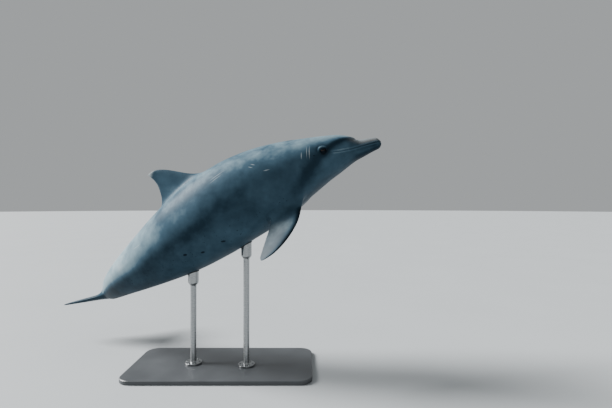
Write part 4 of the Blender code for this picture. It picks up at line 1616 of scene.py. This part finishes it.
@dataclass(frozen=True)
class WetSkin:
    """Dolphin skin as it looks under water: smooth, rubbery and nearly matt, in cool greys.

    Light shows on it only as broad soft shades, and its shade holds painted light: a lit back and crown,
    a painted shadow band below them, painted shade on the beak and under the belly and tail, and painted
    highlights along the lips. Faint clouds some centimetres wide lie over it, stronger on the back where they
    paint dappled light, with fine rubbed scratches, dark spots, and small flecks low on the sides.
    """

    dark: str = "#0A1219"
    deep: str = "#192A35"
    middle: str = "#394F5D"
    light: str = "#758A93"
    pale: str = "#B6C4C7"
    warm: str = "#8B8985"
    rubbed: str = "#B9C0C2"
    pocket_black: str = "#15191D"
    cloud_mm: float = 120.0
    patch_mm: float = 34.0
    fleck_mm: float = 15.0
    grain_mm: float = 2.4
    dent_mm: float = 48.0
    scratches: tuple[Mark, ...] = (
        Mark(0.425, 0.229, 0.048, 0.0030, 72.0, -1.0),
        Mark(0.437, 0.225, 0.046, 0.0022, 72.0, -1.0),
        Mark(0.471, 0.246, 0.024, 0.0030, 70.0, -1.0),
        Mark(0.669, 0.281, 0.020, 0.0028, 0.0, -1.0),
        Mark(0.722, 0.232, 0.014, 0.0030, -35.0, -1.0),
        Mark(0.738, 0.243, 0.014, 0.0030, -35.0, -1.0),
        Mark(0.905, 0.210, 0.050, 0.0022, 12.0, -1.0),
        Mark(0.915, 0.226, 0.045, 0.0018, 14.0, -1.0),
        Mark(1.180, 0.280, 0.034, 0.0020, -20.0, 1.0),
        Mark(1.195, 0.292, 0.030, 0.0020, -22.0, 1.0),
        Mark(0.700, 0.220, 0.040, 0.0022, 65.0, 1.0),
        Mark(1.420, 0.160, 0.060, 0.0022, 8.0, 1.0),
        Mark(1.500, 0.190, 0.045, 0.0020, 160.0, -1.0),
    )
    spots: tuple[Mark, ...] = (
        Mark(0.408, 0.250, 0.0040, 0.0036, 0.0, -1.0),
        Mark(0.408, 0.250, 0.0040, 0.0036, 0.0, 1.0),
        Mark(1.051, 0.539, 0.016, 0.0085, -35.0, -1.0),
        Mark(1.181, 0.515, 0.014, 0.0080, -35.0, -1.0),
        Mark(1.262, 0.453, 0.014, 0.0080, -35.0, -1.0),
        Mark(1.140, 0.500, 0.012, 0.0070, -20.0, 1.0),
    )

    def make(self) -> Material:
        """Builds the material from the skin's attributes and patterns on Object coordinates."""
        material, tree, place = new_material("wet_dolphin_skin")
        names = ("shade", "warm", "freckles", "clouding_and_dappled_light", "worn", "pocket", "lip")
        masks = {name: add_node(tree, "Attribute", output="Fac", attribute_name=name) for name in names}
        sizes = ((self.cloud_mm, 3.0), (self.patch_mm, 2.0), (self.grain_mm, 2.0), (self.dent_mm, 2.0))
        cloud, patch, grain, dents = (noise(tree, place, size, detail, 0.56) for size, detail in sizes)
        shade = self.shade(tree, place, masks, cloud, patch)
        colour = add_node(tree, "ValToRGB", (shade,), stops=(
            (0.0, self.dark), (1.0, self.pale), (0.24, self.deep), (0.46, self.middle), (0.70, self.light),
        ))
        lay = add_node(tree, "Attribute", output="Vector", attribute_name="lay")
        scratched = self.marks(tree, lay, self.scratches, 1.3)
        rubbed = maths(tree, "MULTIPLY_ADD", patch, 1.5, -0.25, clamp=True)
        rubbed = maths(tree, "MULTIPLY", rubbed, masks["worn"])
        layers = (
            (masks["warm"], self.warm, 0.55), (scratched, self.rubbed, 0.42),
            # The lids' rolled inner edge and the pocket behind each eyeball are coloured near black.
            (rubbed, self.rubbed, 1.15), (masks["pocket"], self.pocket_black, 1.0),
        )
        for mask, tint, strength in layers:
            share = maths(tree, "MULTIPLY", mask, strength, clamp=True)
            colour = mixed(tree, share, colour, tint)
        gloss = maths(tree, "MULTIPLY_ADD", cloud, 0.20, 0.34)
        gloss = maths(tree, "MULTIPLY_ADD", rubbed, 0.15, gloss)
        height = maths(tree, "MULTIPLY_ADD", grain, 0.05, dents)
        bump = add_node(tree, "Bump", {"Height": height, "Strength": 0.25, "Distance": 0.0022})
        finish_material(tree, {
            "Base Color": colour, "Roughness": gloss, "IOR": 1.40, "Specular IOR Level": 0.05, "Normal": bump,
        })
        return material

    def shade(
        self, tree: NodeTree, place: NodeSocket, masks: dict[str, NodeSocket], cloud: NodeSocket,
        patch: NodeSocket,
    ) -> NodeSocket:
        """The skin's shade: its broad markings and painted light, with clouds and painted dappled light,
        painted highlights on the lips, flecks and spots over them.

        Args:
            tree: The material's tree.
            place: Object coordinates.
            masks: The skin's attributes by name.
            cloud: The wide cloudy pattern.
            patch: The smaller one.

        Returns:
            The shade from 0 for dark to 1 for pale.
        """
        # Clouds over the skin, stronger on the back where they paint dappled light.
        clouds = maths(tree, "MULTIPLY_ADD", cloud, 0.84, -0.53)
        clouds = maths(tree, "MULTIPLY_ADD", patch, 0.22, clouds)
        clouds = maths(tree, "MULTIPLY", clouds, masks["clouding_and_dappled_light"])
        # The attribute's shade brings the painted light and shade of body and fins.
        shade = maths(tree, "MULTIPLY_ADD", clouds, 1.0, masks["shade"])
        # Painted highlights along the lips.
        shade = maths(tree, "MULTIPLY_ADD", masks["lip"], 0.12, shade)
        cells = add_node(tree, "TexVoronoi", {
            "Vector": place, "Scale": per_metre(self.fleck_mm), "Randomness": 1.0,
        }, output="Distance")
        spread = {0: cells, 1: 0.10, 2: 0.22, 3: 1.0, 4: 0.0}
        dots = add_node(tree, "MapRange", spread, interpolation_type="SMOOTHSTEP")
        sparse = add_node(tree, "MapRange", {0: patch, 1: 0.50, 2: 0.62, 3: 0.0, 4: 1.0})
        dots = maths(tree, "MULTIPLY", dots, sparse)
        dots = maths(tree, "MULTIPLY", dots, masks["freckles"])
        shade = maths(tree, "MULTIPLY_ADD", dots, -0.34, shade)
        lay = add_node(tree, "Attribute", output="Vector", attribute_name="lay")
        spots = self.marks(tree, lay, self.spots, 1.8)
        return maths(tree, "MULTIPLY_ADD", spots, -0.30, shade, clamp=True)

    def marks(self, tree: NodeTree, lay: NodeSocket, marks: Sequence[Mark], hardness: float) -> NodeSocket:
        """Adds a set of marks.

        Args:
            tree: The material's tree.
            lay: The flat coordinates that the marks are placed in.
            marks: The marks.
            hardness: 1 for marks that fade from their middle, and more for fuller ones.

        Returns:
            A value that is up to 1 in the middle of each mark, and 0 outside all of them.
        """
        total = None
        for mark in marks:
            local = add_node(tree, "Mapping", {
                "Vector": lay,
                "Location": (mark.along, mark.round, mark.layer),
                "Rotation": (0.0, 0.0, math.radians(mark.turn)),
                "Scale": (mark.long, mark.wide, 0.4),
            }, vector_type="TEXTURE")
            spot = add_node(tree, "TexGradient", {"Vector": local}, output="Fac", gradient_type="SPHERICAL")
            spot = maths(tree, "MULTIPLY", spot, hardness, clamp=True)
            total = spot if total is None else maths(tree, "MAXIMUM", total, spot)
        return total


@dataclass(frozen=True)
class WetEye:
    """A living eye: a brown iris and black pupil deep under a clear wet cornea.

    The eye sees one small sharp highlight on near black, with a brown rim where the iris ends.
    """

    pupil: str = "#050507"
    iris: str = "#2A1C12"
    rim: str = "#46301F"
    white: str = "#6A5750"
    thread_mm: float = 0.5

    def make(self) -> Material:
        """Builds the material from the eyeball's own attribute."""
        material, tree, place = new_material("wet_eye")
        polar = add_node(tree, "Attribute", output="Fac", attribute_name="polar")
        threads = noise(tree, place, self.thread_mm, roughness=0.6)
        uneven = maths(tree, "MULTIPLY_ADD", threads, 0.10, -0.05)
        across = maths(tree, "ADD", polar, uneven)
        colour = add_node(tree, "ValToRGB", (across,), stops=(
            (0.0, self.pupil), (1.0, self.white), (0.26, self.pupil), (0.32, self.iris), (0.52, self.rim),
            (0.58, "#120C0A"), (0.66, self.white),
        ))
        finish_material(tree, {
            "Base Color": colour, "Roughness": 0.35, "IOR": 1.376, "Specular IOR Level": 0.12,
            "Coat Weight": 0.45, "Coat Roughness": 0.04,
        })
        return material


@dataclass(frozen=True)
class CharcoalPaint:
    """Satin powder coat on steel: an even dark grey, with an orange-peel surface that softens highlights."""

    colour: str = "#3A3D40"
    worn: str = "#54585B"
    peel_mm: float = 1.6
    cloud_mm: float = 160.0

    def make(self) -> Material:
        """Builds the material."""
        material, tree, place = new_material("charcoal_powder_coat")
        peel, cloud = (noise(tree, place, size) for size in (self.peel_mm, self.cloud_mm))
        share = add_node(tree, "MapRange", {0: cloud, 1: 0.35, 2: 0.75, 3: 0.0, 4: 0.35})
        colour = mixed(tree, share, self.colour, self.worn)
        gloss = maths(tree, "MULTIPLY_ADD", cloud, 0.14, 0.36)
        bump = add_node(tree, "Bump", {"Height": peel, "Strength": 0.18, "Distance": 0.0004})
        finish_material(tree, {"Base Color": colour, "Roughness": gloss, "Normal": bump})
        return material


@dataclass(frozen=True)
class BrushedSteel:
    """Stainless steel brushed round the rod: fine rings that stretch each highlight along it."""

    colour: str = "#A7A9AA"
    shadow: str = "#8C8F91"
    brush_mm: float = 1.2
    stretch: float = 0.04

    def make(self) -> Material:
        """Builds the material."""
        material, tree, place = new_material("brushed_stainless_steel")
        squeezed = add_node(tree, "Mapping", {"Vector": place, "Scale": (self.stretch, self.stretch, 1.0)})
        brush = noise(tree, squeezed, self.brush_mm, 3.0, 0.6)
        colour = mixed(tree, brush, self.shadow, self.colour)
        gloss = maths(tree, "MULTIPLY_ADD", brush, 0.22, 0.18)
        bump = add_node(tree, "Bump", {"Height": brush, "Strength": 0.12, "Distance": 0.0003})
        finish_material(tree, {"Base Color": colour, "Metallic": 1.0, "Roughness": gloss, "Normal": bump})
        return material


@dataclass(frozen=True)
class BlackRubber:
    """Moulded neoprene: dull near black with a fine pitted grain that kills highlights."""

    colour: str = "#1C1D1E"
    bloom: str = "#303132"
    grain_mm: float = 1.1

    def make(self) -> Material:
        """Builds the material."""
        material, tree, place = new_material("moulded_black_rubber")
        grain = noise(tree, place, self.grain_mm)
        colour = mixed(tree, grain, self.colour, self.bloom)
        gloss = maths(tree, "MULTIPLY_ADD", grain, 0.2, 0.55)
        bump = add_node(tree, "Bump", {"Height": grain, "Strength": 0.3, "Distance": 0.0004})
        finish_material(tree, {"Base Color": colour, "Roughness": gloss, "Normal": bump})
        return material


@dataclass(frozen=True)
class StudioFloor:
    """A plain matt pale floor, with a hardly visible unevenness."""

    colour: str = "#A4A8AA"
    shade: str = "#9EA2A4"
    cloud_mm: float = 900.0

    def make(self) -> Material:
        """Builds the material."""
        material, tree, place = new_material("matt_studio_floor")
        cloud = noise(tree, place, self.cloud_mm)
        colour = mixed(tree, cloud, self.colour, self.shade)
        finish_material(tree, {"Base Color": colour, "Roughness": 0.75})
        return material


# ---- the pieces


def turned_mesh(rings: Sequence[Array], start: Array, end: Array) -> tuple[list, list]:
    """Points and faces of a closed form from equal rings of points, with a pole at each end."""
    size = len(rings[0])
    points = [start] + [point for ring in rings for point in ring] + [end]
    faces = [(0, 1 + (k + 1) % size, 1 + k) for k in range(size)]
    for i in range(len(rings) - 1):
        near, far = 1 + i * size, 1 + (i + 1) * size
        faces += [(near + k, near + (k + 1) % size, far + (k + 1) % size, far + k) for k in range(size)]
    last = 1 + (len(rings) - 1) * size
    faces += [(last + k, last + (k + 1) % size, len(points) - 1) for k in range(size)]
    return points, faces


@dataclass
class Eyeball:
    """One eyeball, with the cornea that stands out of it."""

    place: EyePlace
    node: str
    sides: int = 64
    rings: int = 48
    cornea_rise: float = 0.0012
    cornea_spread: float = 0.42

    def build(self, material: Material) -> Object:
        """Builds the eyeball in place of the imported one.

        Args:
            material: The eye's finish.

        Returns:
            The eyeball.
        """
        forward, up, outward, _ = self.place.axes
        turn = full_turn(self.sides)
        sideways = forward * np.cos(turn)[:, None] + up * (np.sin(turn) * self.place.side)[:, None]
        polar = math.pi * (np.arange(1, self.rings) / self.rings) ** 1.25
        least = self.place.radius - self.cornea_rise * 0.5
        radius = least + self.cornea_rise * bell(polar, self.cornea_spread)
        centre = self.place.centre
        made = [
            centre + size * (sideways * math.sin(angle) + outward * math.cos(angle))
            for angle, size in zip(polar, radius)
        ]
        front, back = centre + outward * (least + self.cornea_rise), centre - outward * least
        points, faces = turned_mesh(made, front, back)
        piece = mesh_object(f"eyeball_{self.node.split('_')[1]}", points, faces)
        values = np.concatenate(([0.0], np.repeat(polar / math.pi * 2.0, self.sides), [2.0]))
        write_values(piece.data, "polar", values)
        piece.data.materials.append(material)
        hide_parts(self.node)
        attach(piece, "root")
        report(piece)
        return piece


@dataclass
class Dolphin:
    """The whole animal: the skin over body and fins, and the eyes."""

    form: BodyForm
    lids: Lids
    flesh: tuple[str, ...] = (
        "upper_jaw", "lower_jaw", "head", "neck", "chest", "midbody", "hindbody", "tail_stock",
        "dorsal_fin", "flipper_left", "flipper_right", "fluke_left", "fluke_right",
    )

    def build(self) -> Object:
        """Builds the skin and the eyes."""
        eyes = tuple(EyePlace(self.form, side) for side in (1, -1))
        skin = Skin(self.form, Fins(self.form).blades(), list(eyes), self.lids)
        piece = skin.build("dolphin_skin")
        points = np.zeros(3 * len(piece.data.vertices))
        piece.data.vertices.foreach_get("co", points)
        Markings(self.form, eyes, self.lids).write(piece.data, points.reshape(-1, 3), skin.facts_used)
        piece.data.materials.append(WetSkin().make())
        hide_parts(*self.flesh)
        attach(piece, "root")
        report(piece)
        material = WetEye().make()
        for eye, node in zip(eyes, ("eye_left", "eye_right")):
            Eyeball(eye, node).build(material)
        return piece


@dataclass
class Stand:
    """The display stand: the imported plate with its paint, and posts, screws and pads on it.

    The cup's rings are given as how far in from its edge each is, and how far under the skin.
    """

    skin: Object
    rods: tuple[str, ...] = ("stand_rod_front", "stand_rod_rear")
    plate_top: float = 0.0243
    rod_radius: float = 0.017
    flange_radius: float = 0.048
    flange_thickness: float = 0.010
    edge_round: float = 0.0016
    weld: float = 0.004
    cup_radius: float = 0.030
    cup_height: float = 0.070
    cup_rings: tuple[Pair, ...] = ((0.0, 0.0020), (0.0012, 0.0004), (0.010, 0.0), (0.020, 0.0))
    flare_height: float = 0.030
    skin_margin: float = 0.002
    post_sides: int = 96
    screw_circle: float = 0.0360
    screws: int = 6
    screw_radius: float = 0.0048
    screw_height: float = 0.0034
    screw_seat: float = 0.45
    socket_radius: float = 0.0026
    pad_radius: float = 0.0290
    pad_thickness: float = 0.0040
    pad_section: int = 14

    def build(self) -> None:
        """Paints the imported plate, and builds the posts with their screws and pads."""
        paint, steel, rubber = CharcoalPaint().make(), BrushedSteel().make(), BlackRubber().make()
        for slot in bpy.data.objects["stand_base"].material_slots:
            slot.material = paint
        LOG.info("stand_base: %s", paint.name)
        for rod in self.rods:
            low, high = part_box(rod)
            middle = ((low[0] + high[0]) / 2.0, (low[1] + high[1]) / 2.0)
            self.post(rod, middle, high[2], steel)
            self.pad(rod.replace("rod", "pad"), middle, high[2], rubber)
            self.screw_ring(rod.replace("rod", "screws"), middle, steel)

    def skin_heights(self, middle: Pair, radius: float, top: float) -> Array:
        """Levels of the skin over a ring round a post.

        Args:
            middle: Where the post stands.
            radius: The ring's radius.
            top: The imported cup's highest level, which they hardly go over.

        Returns:
            A level for each side of the ring.
        """
        heights = []
        for angle in full_turn(self.post_sides):
            along, across = middle[0] + radius * math.cos(angle), middle[1] + radius * math.sin(angle)
            hit, place, _, _ = self.skin.ray_cast((along, across, self.plate_top), (0.0, 0.0, 1.0))
            heights.append(place[2] if hit else top)
        return np.minimum(np.array(heights), top + self.skin_margin)

    def post(self, node: str, middle: Pair, top: float, steel: Material) -> None:
        """Builds a post: its flange, the weld bead, the rod and the cup that fits the belly.

        Args:
            node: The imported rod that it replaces.
            middle: Where it stands.
            top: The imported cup's highest level.
            steel: Its material.
        """
        rim = self.skin_heights(middle, self.cup_radius, top)
        lowest = float(rim.min())
        flange = self.plate_top + self.flange_thickness
        corner = [(self.edge_round * (1.0 - math.sin(t)), self.edge_round * (1.0 - math.cos(t)))
                  for t in np.linspace(0.0, math.pi / 2.0, 5)]
        profile = [(self.flange_radius - in_, self.plate_top + up) for in_, up in corner]
        profile += [(self.flange_radius - in_, flange - up) for in_, up in reversed(corner)]
        for t in np.linspace(0.0, math.pi / 2.0, 7):
            out, up = self.weld * (1.0 - math.sin(t)), 1.5 * self.weld * (1.0 - math.cos(t))
            profile.append((self.rod_radius + out, flange + up))
        shoulder = lowest - self.cup_height
        profile.append((self.rod_radius, shoulder - 0.01))
        for t in np.linspace(0.0, 1.0, 13):
            out = (self.cup_radius - self.rod_radius) * float(ease(np.array(t)))
            profile.append((self.rod_radius + out, shoulder + self.flare_height * t))
        profile.append((self.cup_radius, lowest - 0.012))
        turn = full_turn(self.post_sides)
        across = np.stack((np.cos(turn), np.sin(turn), np.zeros_like(turn)), 1)
        foot = np.array([middle[0], middle[1], 0.0])
        rings = [foot + across * radius + np.array([0.0, 0.0, level]) for radius, level in profile]
        for inset, sink in self.cup_rings:
            ring = foot + across * (self.cup_radius - inset)
            ring[:, 2] = self.skin_heights(middle, self.cup_radius - inset, top) - sink
            rings.append(ring)
        start = foot + np.array([0.0, 0.0, self.plate_top])
        end = rings[-1].mean(axis=0)
        points, faces = turned_mesh(rings, start, end)
        piece = mesh_object(node.replace("rod", "post"), points, faces)
        piece.data.set_sharp_from_angle(angle=math.radians(40.0))
        piece.data.materials.append(steel)
        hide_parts(node)
        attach(piece, "root")
        report(piece)

    def pad(self, name: str, middle: Pair, top: float, rubber: Material) -> None:
        """Adds the soft ring between a cup's rim and the skin that rests in it.

        Args:
            name: The piece's name.
            middle: Where the post stands.
            top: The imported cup's highest level.
            rubber: Its material.
        """
        heights = self.skin_heights(middle, self.pad_radius, top)
        points, faces = [], []
        for angle, height in zip(full_turn(self.post_sides), heights):
            for bend in full_turn(self.pad_section):
                reach = self.pad_radius + self.pad_thickness * math.cos(bend)
                along, across = middle[0] + reach * math.cos(angle), middle[1] + reach * math.sin(angle)
                rise = self.pad_thickness * (0.9 * math.sin(bend) - 0.55)
                points.append((along, across, height + rise))
        size = self.pad_section
        for i in range(self.post_sides):
            near, far = i * size, ((i + 1) % self.post_sides) * size
            faces += [(near + k, far + k, far + (k + 1) % size, near + (k + 1) % size) for k in range(size)]
        piece = mesh_object(name, points, faces)
        piece.data.materials.append(rubber)
        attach(piece, "root")
        report(piece)

    def screw_ring(self, name: str, middle: Pair, steel: Material) -> None:
        """Adds the ring of cap screws on a post's flange, made by Geometry Nodes.

        Args:
            name: The piece's name.
            middle: Where the post stands.
            steel: The screws' material.
        """
        piece = mesh_object(name, [(0.0, 0.0, 0.0)], [])
        tree = self.screw_tree(steel)
        modifier = piece.modifiers.new("screws", "NODES")
        modifier.node_group = tree
        values = {
            "Count": self.screws, "Circle": self.screw_circle, "Radius": self.screw_radius,
            "Height": self.screw_height, "Socket": self.socket_radius,
            "Level": self.plate_top + self.flange_thickness + self.screw_height * self.screw_seat,
            "Along": middle[0], "Across": middle[1],
        }
        for item in tree.interface.items_tree:
            if item.in_out == "INPUT" and item.name in values:
                modifier[item.identifier] = values[item.name]
        evaluated = piece.evaluated_get(bpy.context.evaluated_depsgraph_get())
        made = bpy.data.meshes.new_from_object(evaluated)
        piece.modifiers.remove(modifier)
        piece.data = made
        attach(piece, "root")
        report(piece)

    def screw_tree(self, steel: Material) -> NodeTree:
        """The node tree for a ring of low cap screws with a hexagon socket in each.

        Args:
            steel: The screws' material.

        Returns:
            The tree, with an input for each size.
        """
        tree = bpy.data.node_groups.new("screw_ring", "GeometryNodeTree")
        tree.interface.new_socket("Geometry", in_out="INPUT", socket_type="NodeSocketGeometry")
        tree.interface.new_socket("Count", in_out="INPUT", socket_type="NodeSocketInt")
        for name in ("Circle", "Radius", "Height", "Socket", "Level", "Along", "Across"):
            tree.interface.new_socket(name, in_out="INPUT", socket_type="NodeSocketFloat")
        tree.interface.new_socket("Geometry", in_out="OUTPUT", socket_type="NodeSocketGeometry")
        add_node(tree, "NodeGroupInput")
        given = {socket.name: socket for socket in tree.nodes[-1].outputs if socket.name}
        sizes = {"Vertices": given["Count"], "Radius": given["Circle"]}
        ring = add_node(tree, "GeometryNodeMeshCircle", sizes)
        half = maths(tree, "MULTIPLY", given["Height"], 0.5)
        twice = maths(tree, "MULTIPLY", given["Height"], 1.2)
        head = add_node(tree, "GeometryNodeMeshCylinder", {
            "Vertices": 32, "Radius": given["Radius"], "Depth": given["Height"],
        }, output="Mesh")
        hole = add_node(tree, "GeometryNodeMeshCylinder", {
            "Vertices": 6, "Radius": given["Socket"], "Depth": twice,
        }, output="Mesh")
        up = add_node(tree, "CombineXYZ", {"Z": half})
        hole = add_node(tree, "GeometryNodeTransform", {"Geometry": hole, "Translation": up})
        parts = {"Mesh 1": head, "Mesh 2": hole}
        screw = add_node(tree, "GeometryNodeMeshBoolean", parts, operation="DIFFERENCE")
        place = add_node(tree, "CombineXYZ", {"X": given["Along"], "Y": given["Across"], "Z": given["Level"]})
        ring = add_node(tree, "GeometryNodeTransform", {"Geometry": ring, "Translation": place})
        draw = {"Min": 0.0, "Max": 1.0, "Seed": 7}
        turn = add_node(tree, "FunctionNodeRandomValue", draw, output=1, data_type="FLOAT")
        turn = add_node(tree, "CombineXYZ", {"Z": turn})
        placing = {"Points": ring, "Instance": screw, "Rotation": turn}
        many = add_node(tree, "GeometryNodeInstanceOnPoints", placing)
        plain = add_node(tree, "GeometryNodeRealizeInstances", (many,))
        dressed = add_node(tree, "GeometryNodeSetMaterial", {"Geometry": plain, "Material": steel})
        add_node(tree, "NodeGroupOutput", {"Geometry": dressed})
        return tree


@dataclass
class Studio:
    """The floor, the lights and the camera."""

    floor_radius: float = 60.0
    camera_place: Point = (0.4854, -2.3862, 0.9517)
    lens_mm: float = 24.0
    key_place: Point = (-3.8, 0.6, 2.8)
    key_strength: float = 11.0
    key_angle: float = 25.0
    fill_place: Point = (1.6, -4.5, 2.6)
    fill_target: Point = (0.1, 0.0, 0.9)
    fill_size: float = 4.0
    fill_power: float = 45.0
    sky: str = "#E4E8EA"
    sky_strength: float = 0.50
    sensor_mm: float = 36.0

    def build(self) -> None:
        """Builds the studio round the model."""
        reach = self.floor_radius
        ring = [(reach * math.cos(turn), reach * math.sin(turn), 0.0) for turn in full_turn(96)]
        floor = mesh_object("studio_floor", ring, [tuple(range(len(ring)))], smooth=False)
        floor.data.materials.append(StudioFloor().make())
        self.light_all()
        data = bpy.data.cameras.new("camera")
        data.lens, data.sensor_width = self.lens_mm, self.sensor_mm
        camera = add_object("camera", data)
        camera.location = self.camera_place
        camera.rotation_euler = (math.pi / 2.0, 0.0, 0.0)
        bpy.context.scene.camera = camera

    def light_all(self) -> None:
        """Adds the far soft key light, the wide fill from the front and the pale surroundings."""
        key = bpy.data.lights.new("key", "SUN")
        key.energy, key.angle = self.key_strength, math.radians(self.key_angle)
        self.place_light(key, self.key_place, (0.0, 0.0, 0.0))
        fill = bpy.data.lights.new("front_fill", "AREA")
        fill.size, fill.energy = self.fill_size, self.fill_power
        self.place_light(fill, self.fill_place, self.fill_target)
        world = bpy.data.worlds.new("pale_studio")
        world.use_nodes = True
        background = world.node_tree.nodes["Background"]
        background.inputs["Color"].default_value = linear(self.sky)
        background.inputs["Strength"].default_value = self.sky_strength
        bpy.context.scene.world = world

    def place_light(self, data: Light, place: Point, target: Point) -> None:
        """Sets a light at a place, where it faces a target."""
        lamp = add_object(data.name, data)
        lamp.location = place
        lamp.rotation_euler = (Vector(target) - Vector(place)).to_track_quat("-Z", "Y").to_euler()


def main() -> None:
    """Builds everything in order."""
    logging.basicConfig(level=logging.INFO, format="%(name)s: %(message)s")
    skin = Dolphin(BodyForm(), Lids()).build()
    Stand(skin).build()
    Studio().build()


if __name__ == "__main__":
    main()
